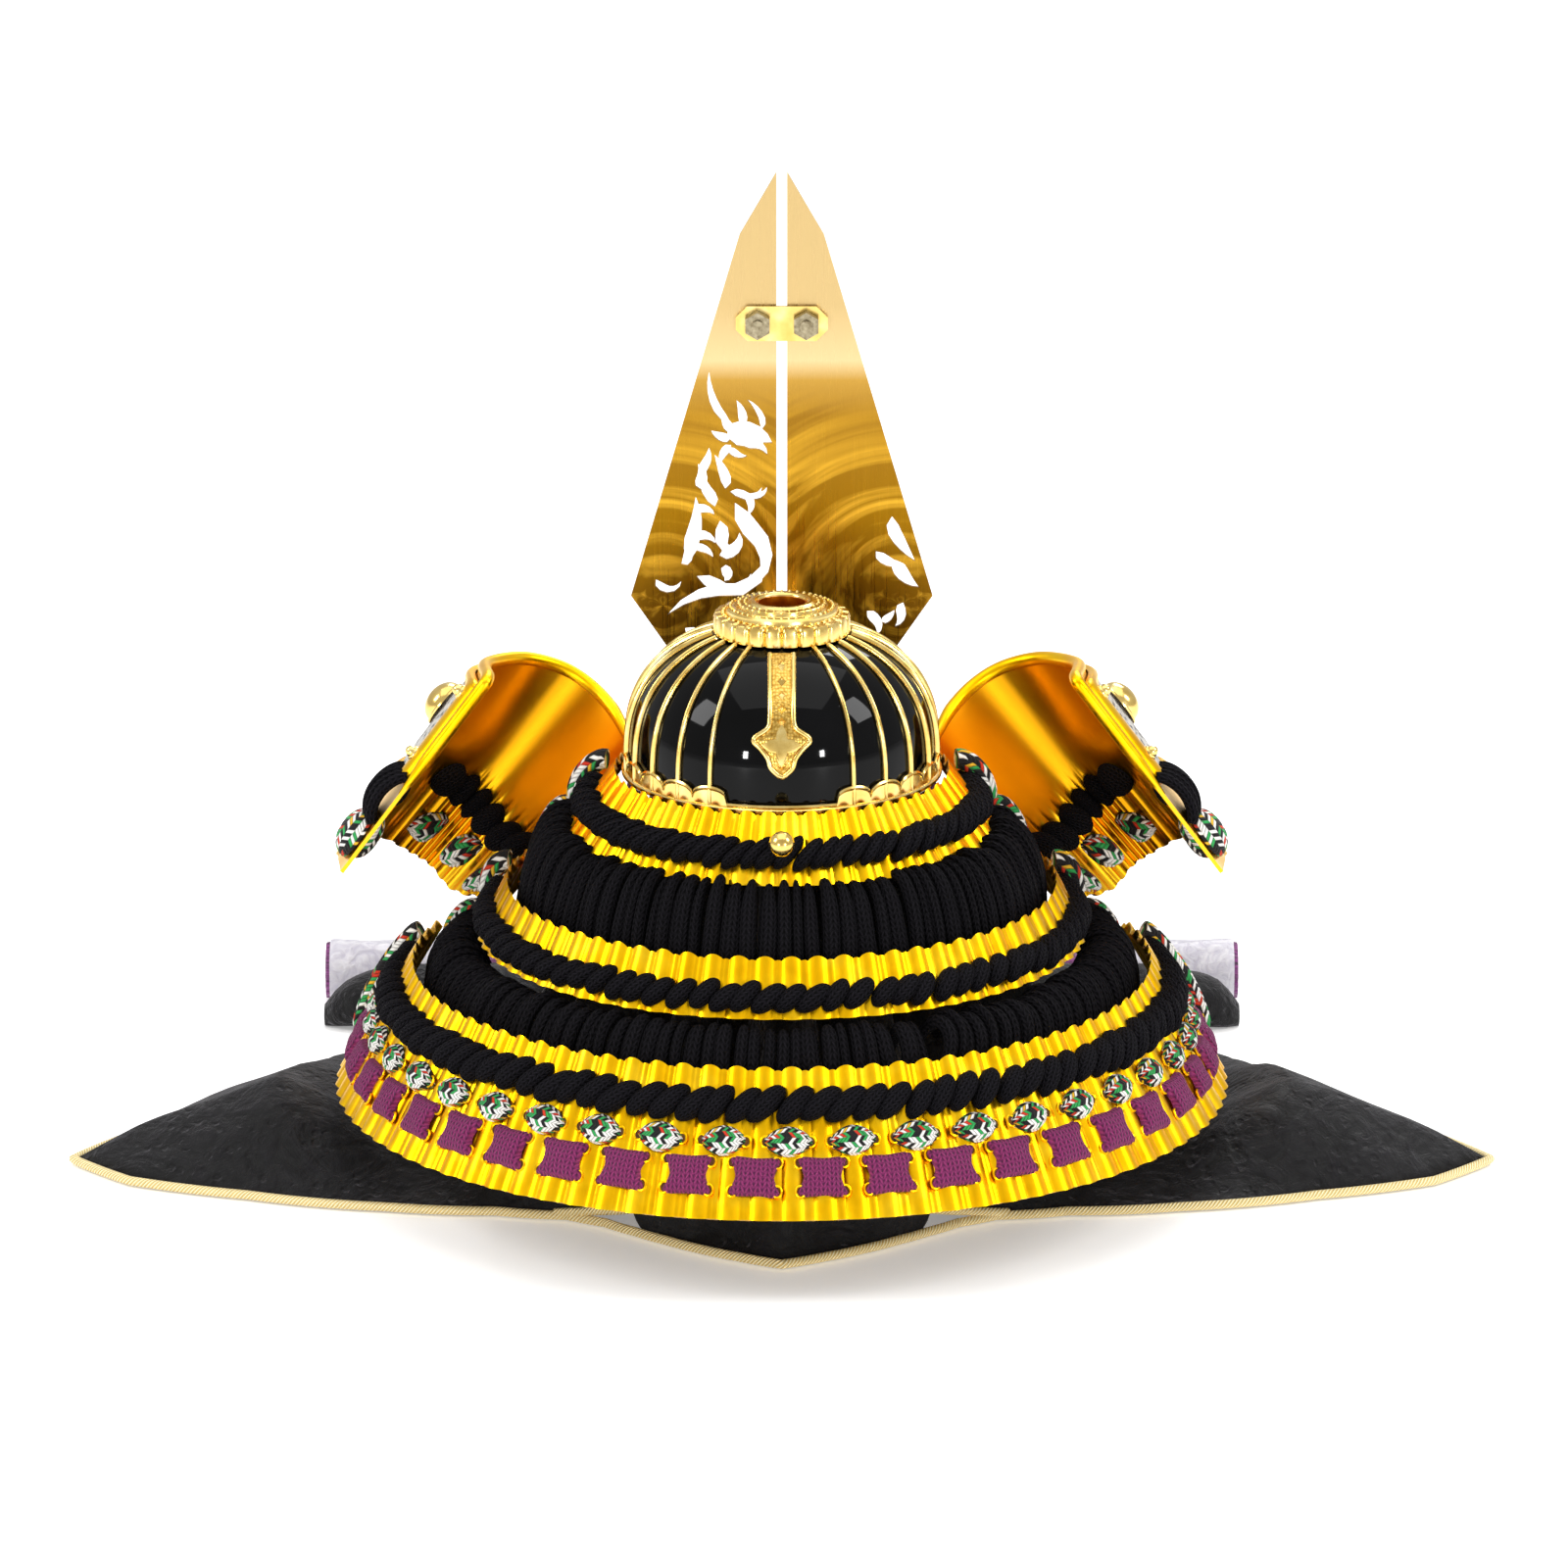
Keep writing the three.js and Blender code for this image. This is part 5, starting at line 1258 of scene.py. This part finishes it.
def face_leather(side):
    """Panel that swells a little in its middle."""
    us = evenly(FACE_U[0] + LEATHER_INSET_U, FACE_U[1] - LEATHER_INSET_U, 24)
    vs = evenly(FACE_V[0] + LEATHER_INSET_V, FACE_V[1] - LEATHER_INSET_V, 30)
    swell_u, swell_v = ([max(0.0, math.sin(math.pi * k / (len(line) - 1))) ** 0.5 for k in range(len(line))]
                        for line in (us, vs))
    rows = []
    for u, su in zip(us, swell_u):
        top = [wing_point(u, v, 1.0 + LEATHER_SWELL * su * sv, side) for v, sv in zip(vs, swell_v)]
        rows.append(top + [wing_point(u, v, 0.5, side) for v in vs[::-1]])
    return loft(rows, ring=True, capped=True)


def seated(bm, u, v, out, side):
    """Moves a piece made upright on the origin to the wing's face."""
    foot = wing_point(u, v, out, side)
    normal = (wing_point(u, v, out + 1, side) - foot).normalized()
    turn = Vector((0, 0, 1)).rotation_difference(normal).to_matrix().to_4x4()
    bmesh.ops.transform(bm, matrix=Matrix.Translation(foot) @ turn, verts=bm.verts)
    return bm


def domed(radius, height, collar):
    """Dome on a stepped collar."""
    dome = [(radius * math.cos(t), 0.5 + (height - 0.5) * math.sin(t))
            for t in evenly(0, math.pi / 2 - 0.02, 14)]
    profile = [(0.01, 0), (radius + collar, 0), (radius + collar, 0.35), (radius + collar * 0.6, 0.6),
               (radius + collar * 0.15, 0.55)] + dome
    return spun(profile, 40)


printed_leather = finish("printed_leather", "CFCCC6", 0.55)
tree = printed_leather.node_tree
flecks, small = (node(tree, "TexVoronoi", {"Vector": place(tree), "Scale": scale}).outputs["Distance"]
                 for scale in (620, 1500))
print_mix = maths(tree, "MULTIPLY_ADD", small, 0.45, flecks)
feed(printed_leather, "Base Color", ramp(tree, print_mix, (0.36, "0E0D11"), (0.47, "4C4A4D"),
                                         (0.58, "8F8C88"), (0.85, "B9B6B0")))
bump(printed_leather, grain(tree, place(tree), 1800, 3), 0.1)


def wing_lump(unit, u, v, out, turn, side, inside=True):
    """A cord's stitch set on the wing at (u, v), turned in its plane."""
    c, s = math.cos(turn), math.sin(turn)
    for vert in unit.verts:
        x, y, z = vert.co
        base = -(TURNBACK_WALL + out) - z if inside else out + z
        vert.co = wing_point(u + (x * c - y * s) / WING_LONG, v + (x * s + y * c) / WING_TALL, base, side)
    return unit


def wing_stitches(side):
    """Black cord sewn in six fat turns across the plate's inner side, and one by the free edge."""
    drawn = random.Random(31)
    lumps = []
    for k in range(6):
        u = 0.655 - 0.1 * k + drawn.uniform(-0.006, 0.006)
        v = 0.645 + 0.012 * k + drawn.uniform(-0.01, 0.01)
        lumps.append(wing_lump(pill(9.4, 8.2, 4.2, 0.95), u, v, 0.3, 1.0 + drawn.uniform(-0.3, 0.3), side))
    return merged(lumps + [wing_lump(pill(9.0, 6.5, 3.2, 0.95), 0.9, 0.63, 0.2, 1.3, side)])


def wing_mixed(side):
    """Four-colour stitches under the black ones, and one by the free edge on each face of the plate."""
    lumps = [wing_lump(lozenge(), u, v, 0.3, turn, side)
             for u, v, turn in ((0.575, 0.86, 0.5), (0.36, 0.86, 0.9), (0.19, 0.9, 0.7))]
    for unit in lumps:
        centre = sum((v.co for v in unit.verts), Vector()) / len(unit.verts)
        for v in unit.verts:
            v.co = centre + (v.co - centre) * 1.25
    lumps.append(wing_lump(pill(12.5, 8.0, 3.4, 0.95), 0.935, 0.845, 0.2, 1.5, side))
    lumps.append(wing_lump(pill(12.5, 8.0, 4.0, 0.95), 0.94, 0.86, 0.4, 1.5, side, inside=False))
    return merged(lumps)


def wing_bundle(side):
    """Hank of black cord on the face below the frame."""
    parts = []
    for k in range(5):
        line = [wing_point(0.915 + 0.018 * k - 0.004 * math.sin(3 * share), 0.53 + 0.235 * share,
                           0.6 + (3.6 - 0.5 * abs(k - 2)) * math.sin(math.pi * share) ** 0.6, side)
                for share in evenly(0, 1, 24)]
        parts.append(tube(line, 1.3, 12))
    return merged(parts)


wing_gold = finish("wing_gold", "F7B500", 0.29, 1.0)
tree = wing_gold.node_tree
along, around = surface_mm(tree)
# Painted reflections: lighter and darker gold bands run along the wing, slanted a little and wavered by
# noise.
slant = maths(tree, "MULTIPLY_ADD", around, 0.10, along)
reflection_bands = maths(tree, "MULTIPLY_ADD", grain(tree, place(tree), 26, 2), 14, slant)
feed(wing_gold, "Base Color", ramp(tree, maths(tree, "DIVIDE", reflection_bands, 88), (0.0, "F8B616"), (0.25, "F0AA0C"),
                                   (0.4, "FFC426"), (0.52, "F0AC12"), (0.64, "DC9A10"), (0.78, "F0AC14"),
                                   (1.0, "FFC62A")))

for side, word in ((1, "right"), (-1, "left")):
    piece(wing_plate(side), f"wing_plate_{word}", wing_gold, f"turnback_{word}", slot="yellow_gold",
          crease=50)
    piece(wing_rim(side), f"wing_rim_{word}", yellow_gold, slot="yellow_gold")
    piece(face_frame(side), f"wing_frame_{word}", yellow_gold, f"turnback_frame_{word}", slot="yellow_gold")
    piece(face_leather(side), f"wing_leather_{word}", printed_leather, f"turnback_leather_{word}",
          slot="printed_leather")
    piece(seated(domed(5.2, 4.4, 0.6), 0.85, 0.25, 1.5, side), f"wing_boss_{word}", pale_gold,
          f"turnback_boss_{word}", slot="pale_gold")
    for v, level in RIVETS:
        piece(seated(domed(1.35, 2.2, 0.45), 0.962, v, 1.9, side), f"wing_rivet_{level}_{word}", pale_gold,
              f"turnback_rivet_{level}_{word}", slot="pale_gold")
    piece(wing_stitches(side), f"wing_stitches_{word}", knit_black, f"turnback_cords_{word}",
          slot="black_cord")
    piece(wing_bundle(side), f"wing_cord_hank_{word}", knit_black, slot="black_cord")
    piece(wing_mixed(side), f"wing_mixed_stitches_{word}", edge_braid, slot="mixed_cord")

# ---- Stand
# A post with a rounded head on a round foot, all but hidden by the cloth. It is turned from plain
# waxed beech, and the bowl rests on its head.

stand_wood = finish("stand_wood", "B08A5A", 0.5)
tree = stand_wood.node_tree
figure = node(tree, "Mapping", {"Vector": place(tree), "Scale": (90, 90, 9)}).outputs[0]
rings = grain(tree, figure, 1, 4, 0.6, 1.4)
feed(stand_wood, "Base Color", ramp(tree, rings, (0.3, "8D6438"), (0.55, "B88F5C"), (0.8, "CFAA78")))
feed(stand_wood, "Roughness", spread(tree, rings, 0.42, 0.6))
bump(stand_wood, rings, 0.15)

FOOT_RADIUS, FOOT_HEIGHT, FOOT_ROUND, AXIS_GAP = 45, 6, 1.5, 0.01
POST_PROFILE = [(8, 6.3), (8, 104), (8.6, 107), (11.4, 110.5), (12.3, 114), (12.6, 118), (11.6, 120.8),
                (9.6, 122.2)]        # radius, z

edge = [(FOOT_RADIUS - FOOT_ROUND * (1 - math.sin(t)), FOOT_HEIGHT - FOOT_ROUND * (1 - math.sin(t)))
        for t in evenly(0, math.pi / 2, 6)]
foot = [(AXIS_GAP, 0), (FOOT_RADIUS - 0.5, 0), (FOOT_RADIUS, 0.5)] + edge
foot += [(12, FOOT_HEIGHT), (AXIS_GAP, FOOT_HEIGHT)]
piece(spun(foot, 96), "turned_foot", stand_wood, "stand_foot", slot="wood")
post = [(AXIS_GAP, POST_PROFILE[0][1])] + POST_PROFILE + [(AXIS_GAP, POST_PROFILE[-1][1])]
piece(spun(post, 64), "turned_post", stand_wood, "stand_post", slot="wood")

# ---- Display cloth
# One square of black crushed velvet with a faint pressed pattern, laid over the stand's head and
# drawn out into points on the table; its far edge is folded under in a soft roll. A pale gold twill
# cord is sewn round its hem.

CLOTH_WALL, FLOOR_GAP, CLOTH_TOP_Z, CLOTH_TURNS = 1.6, 0.3, 124.1, 300
# degrees from the back, radius of the hem
HEM = [(0, 73), (8, 68.5), (16, 65), (24, 62), (32, 60), (41, 59), (50, 61.5), (60, 73), (69, 94), (78, 122),
       (84, 147), (90, 160), (96, 150), (104, 137), (112, 127), (120, 122), (128, 123), (136, 139),
       (146, 124), (157, 110.5), (168, 103), (180, 101)]
# radius, height
TENT = [(10, CLOTH_TOP_Z), (14.5, 121.5), (18, 112), (24, 92), (33, 66), (45, 41), (59, 20.5)]
# radius, depth of the upright folds
FOLD_DEPTHS = [(12, 0), (18, 2.5), (24, 5), (33, 8.5), (45, 13), (59, 13), (80, 8), (100, 3), (130, 1),
               (170, 0)]
LOBE_FROM, LOBE_TO, LOBE_FADE, LOBE_START, LOBE_RISE = 66, 148, 25, 88, 20
ROLL_Y, ROLL_HALF_LENGTH, ROLL_HALF_DEPTH, ROLL_HEIGHT = 107, 108, 9.5, 14


def hem_reach(azimuth):
    azimuth = abs((azimuth + 180) % 360 - 180)
    i = next(k for k, row in enumerate(HEM) if row[0] >= azimuth)
    if i == 0:
        return HEM[0][1]
    (a0, r0), (a1, r1) = HEM[i - 1], HEM[i]
    return r0 + (r1 - r0) * (azimuth - a0) / (a1 - a0)


def eased(share):
    share = max(0.0, min(1, share))
    return share * share * (3 - 2 * share)


def cloth_height(r, azimuth):
    """Height of the cloth's upper face: a tent with soft folds that runs out flat to the hem."""
    hem = hem_reach(azimuth)
    on_floor = CLOTH_WALL + FLOOR_GAP
    tent_r, tent_z = TENT[-1]
    if r <= TENT[0][0]:
        return CLOTH_TOP_Z
    if r <= tent_r:
        base = table_at(TENT, r)
    else:
        run = min(1, (r - tent_r) / max(1, hem - tent_r))
        turn = abs((azimuth + 180) % 360 - 180)
        lobe = eased((turn - LOBE_FROM) / LOBE_FADE) * eased((LOBE_TO - turn) / LOBE_FADE)
        ridge = LOBE_RISE * lobe * max(0.0, min(1, (r - LOBE_START) / LOBE_FADE)) * (1 - run ** 3)
        base = on_floor + (tent_z - on_floor) * (1 - run) ** 2.4 + ridge
    a = math.radians(azimuth)
    crumple = noise.noise(Vector((math.sin(a) * r / 17, math.cos(a) * r / 17, base / 60))) * 1.6
    lift = max(0.0, min(1, (r - 16) / 20)) * crumple * max(0.15, min(1, (base - on_floor) / 16))
    return max(on_floor, base + lift)


def fold_shift(r, azimuth):
    """Radial shift of the upright folds, which take up the fullness of a flat square over a post."""
    near_hem = max(0.0, min(1, (hem_reach(azimuth) - r) / 25))
    a = math.radians(azimuth)
    wave = 0.85 * math.cos(12 * a + 0.5 * math.sin(2 * a)) + 0.2 * math.sin(5 * a + 0.7)
    return table_at(FOLD_DEPTHS, r) * near_hem * wave


cloth_rows = []
for azimuth in [-180 + 360 * k / CLOTH_TURNS for k in range(CLOTH_TURNS)]:
    radii = evenly(1.2, 14, 8) + evenly(14, 24, 10)[1:] + evenly(24, 58, 16)[1:]
    radii += evenly(58, hem_reach(azimuth) - 0.4, 22)[1:]
    cloth_rows.append([polar(r + fold_shift(r, azimuth), azimuth, cloth_height(r, azimuth) - 0.9)
                       for r in radii])
cloth = loft(cloth_rows, closed=True)
top_edges = [e for e in cloth.edges if e.is_boundary and all(v.co.to_2d().length < 2 for v in e.verts)]
bmesh.ops.holes_fill(cloth, edges=top_edges)
bmesh.ops.recalc_face_normals(cloth, faces=cloth.faces)
if sum(f.normal.z for f in cloth.faces) < 0:
    bmesh.ops.reverse_faces(cloth, faces=cloth.faces)

velvet = finish("black_velvet", "0A090B", 0.7, Sheen_Weight=0.2, Sheen_Roughness=0.35,
                Sheen_Tint=(0.55, 0.53, 0.58, 1), Specular_IOR_Level=0.25)
tree = velvet.node_tree
pressed = grain(tree, place(tree), 70, 3, 0.5, 2.5)
crush = grain(tree, place(tree), 210, 5, 0.65, 1.2)
pile = grain(tree, place(tree), 2600, 2)
dots = node(tree, "TexVoronoi", {"Vector": place(tree), "Scale": 330, "Randomness": 0.85}).outputs["Distance"]
bare_places = spread(tree, grain(tree, place(tree), 60), 0, 1, 0.45, 0.6)
stamped = spread(tree, maths(tree, "MAXIMUM", dots, bare_places), 0, 1, 0.2, 0.4)
# Painted shade and sheen: the colour follows the pressed and crushed relief, darker in its hollows and
# lighter on its tops.
painted_shade = maths(tree, "MULTIPLY_ADD", pressed, 0.6, maths(tree, "MULTIPLY", crush, 0.4))
feed(velvet, "Base Color", ramp(tree, painted_shade, (0.35, "010101"), (0.55, "070608"), (0.7, "110F13")))
feed(velvet, "Roughness", spread(tree, crush, 0.55, 0.85))
broad = bump(velvet, pressed, 1.4)
fine = bump(velvet, crush, 0.7, 1.0, broad)
dented = bump(velvet, stamped, 0.35, 1.0, fine)
bump(velvet, pile, 0.12, 1.0, dented)

roll_rows = []
for along in evenly(-1, 1, 90):
    size = max(0.1, (1 - abs(along) ** 16)) ** 0.5
    row = []
    for t in turns_of(28):
        dents = 0.04 * noise.noise(Vector((along * 9, math.cos(t), math.sin(t))))
        wave = 1 + 0.05 * math.sin(along * 31 + 2 * t) + dents
        across = ROLL_HALF_DEPTH * size * wave * math.cos(t) * 0.97
        up = (ROLL_HEIGHT - FLOOR_GAP) * size * (0.5 + 0.5 * max(-0.98, wave * math.sin(t)) * 0.97)
        row.append(Vector((along * ROLL_HALF_LENGTH, ROLL_Y + across, FLOOR_GAP + up)))
    roll_rows.append(row)
roll = loft(roll_rows, ring=True, capped=True)
bmesh.ops.recalc_face_normals(roll, faces=roll.faces)
drape = piece(merged([cloth, roll]), "velvet_cloth", velvet, "display_cloth", slot="black_plush",
              flip=False, crease=80)
thick = drape.modifiers.new("cloth_thickness", "SOLIDIFY")
thick.thickness, thick.offset = 1.2 * MM, 0

PIPING_RADIUS, PIPING_TWILL, PIPING_END = 1.05, 0.9, 121
CROSSING = ((44, 60, 3.4), (34, 57.5, 5.6), (24, 54, 9.5))       # azimuth, radius, z

gold_piping = finish("gold_piping", "E8CE84", 0.42, 0.3)
tree = gold_piping.node_tree
along, around = surface_mm(tree)
lay = maths(tree, "MULTIPLY", maths(tree, "MULTIPLY_ADD", around, 0.8, along), 2 * math.pi / PIPING_TWILL)
twill = maths(tree, "SINE", lay)
# Painted shade and highlight: the twill's grooves are painted darker and its ridges near white.
painted_shade = maths(tree, "MULTIPLY_ADD", twill, 0.4, 0.5)
feed(gold_piping, "Base Color", ramp(tree, painted_shade, (0.1, "D2B065"), (0.5, "F4DE9C"), (0.95, "FFF6CF")))
bump(gold_piping, twill, 0.16)

hem_line = [polar(hem_reach(azimuth) + 0.9, azimuth, FLOOR_GAP + 1.1)
            for azimuth in evenly(-PIPING_END, PIPING_END, 360)]
piping = [tube(hem_line, PIPING_RADIUS)]
for side in (1, -1):
    crossing = [polar(hem_reach(52) + 0.4, side * 52, FLOOR_GAP + 1.6)]
    crossing += [polar(r, side * azimuth, z) for azimuth, r, z in CROSSING]
    piping.append(tube(rope_line(crossing, 30), PIPING_RADIUS - 0.05))
hem_cord = piece(merged(piping), "hem_cord", gold_piping, "cloth_piping", slot="gold_piping")

size = {"cad": cad_box, "visual": [list(corner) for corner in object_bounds()]}
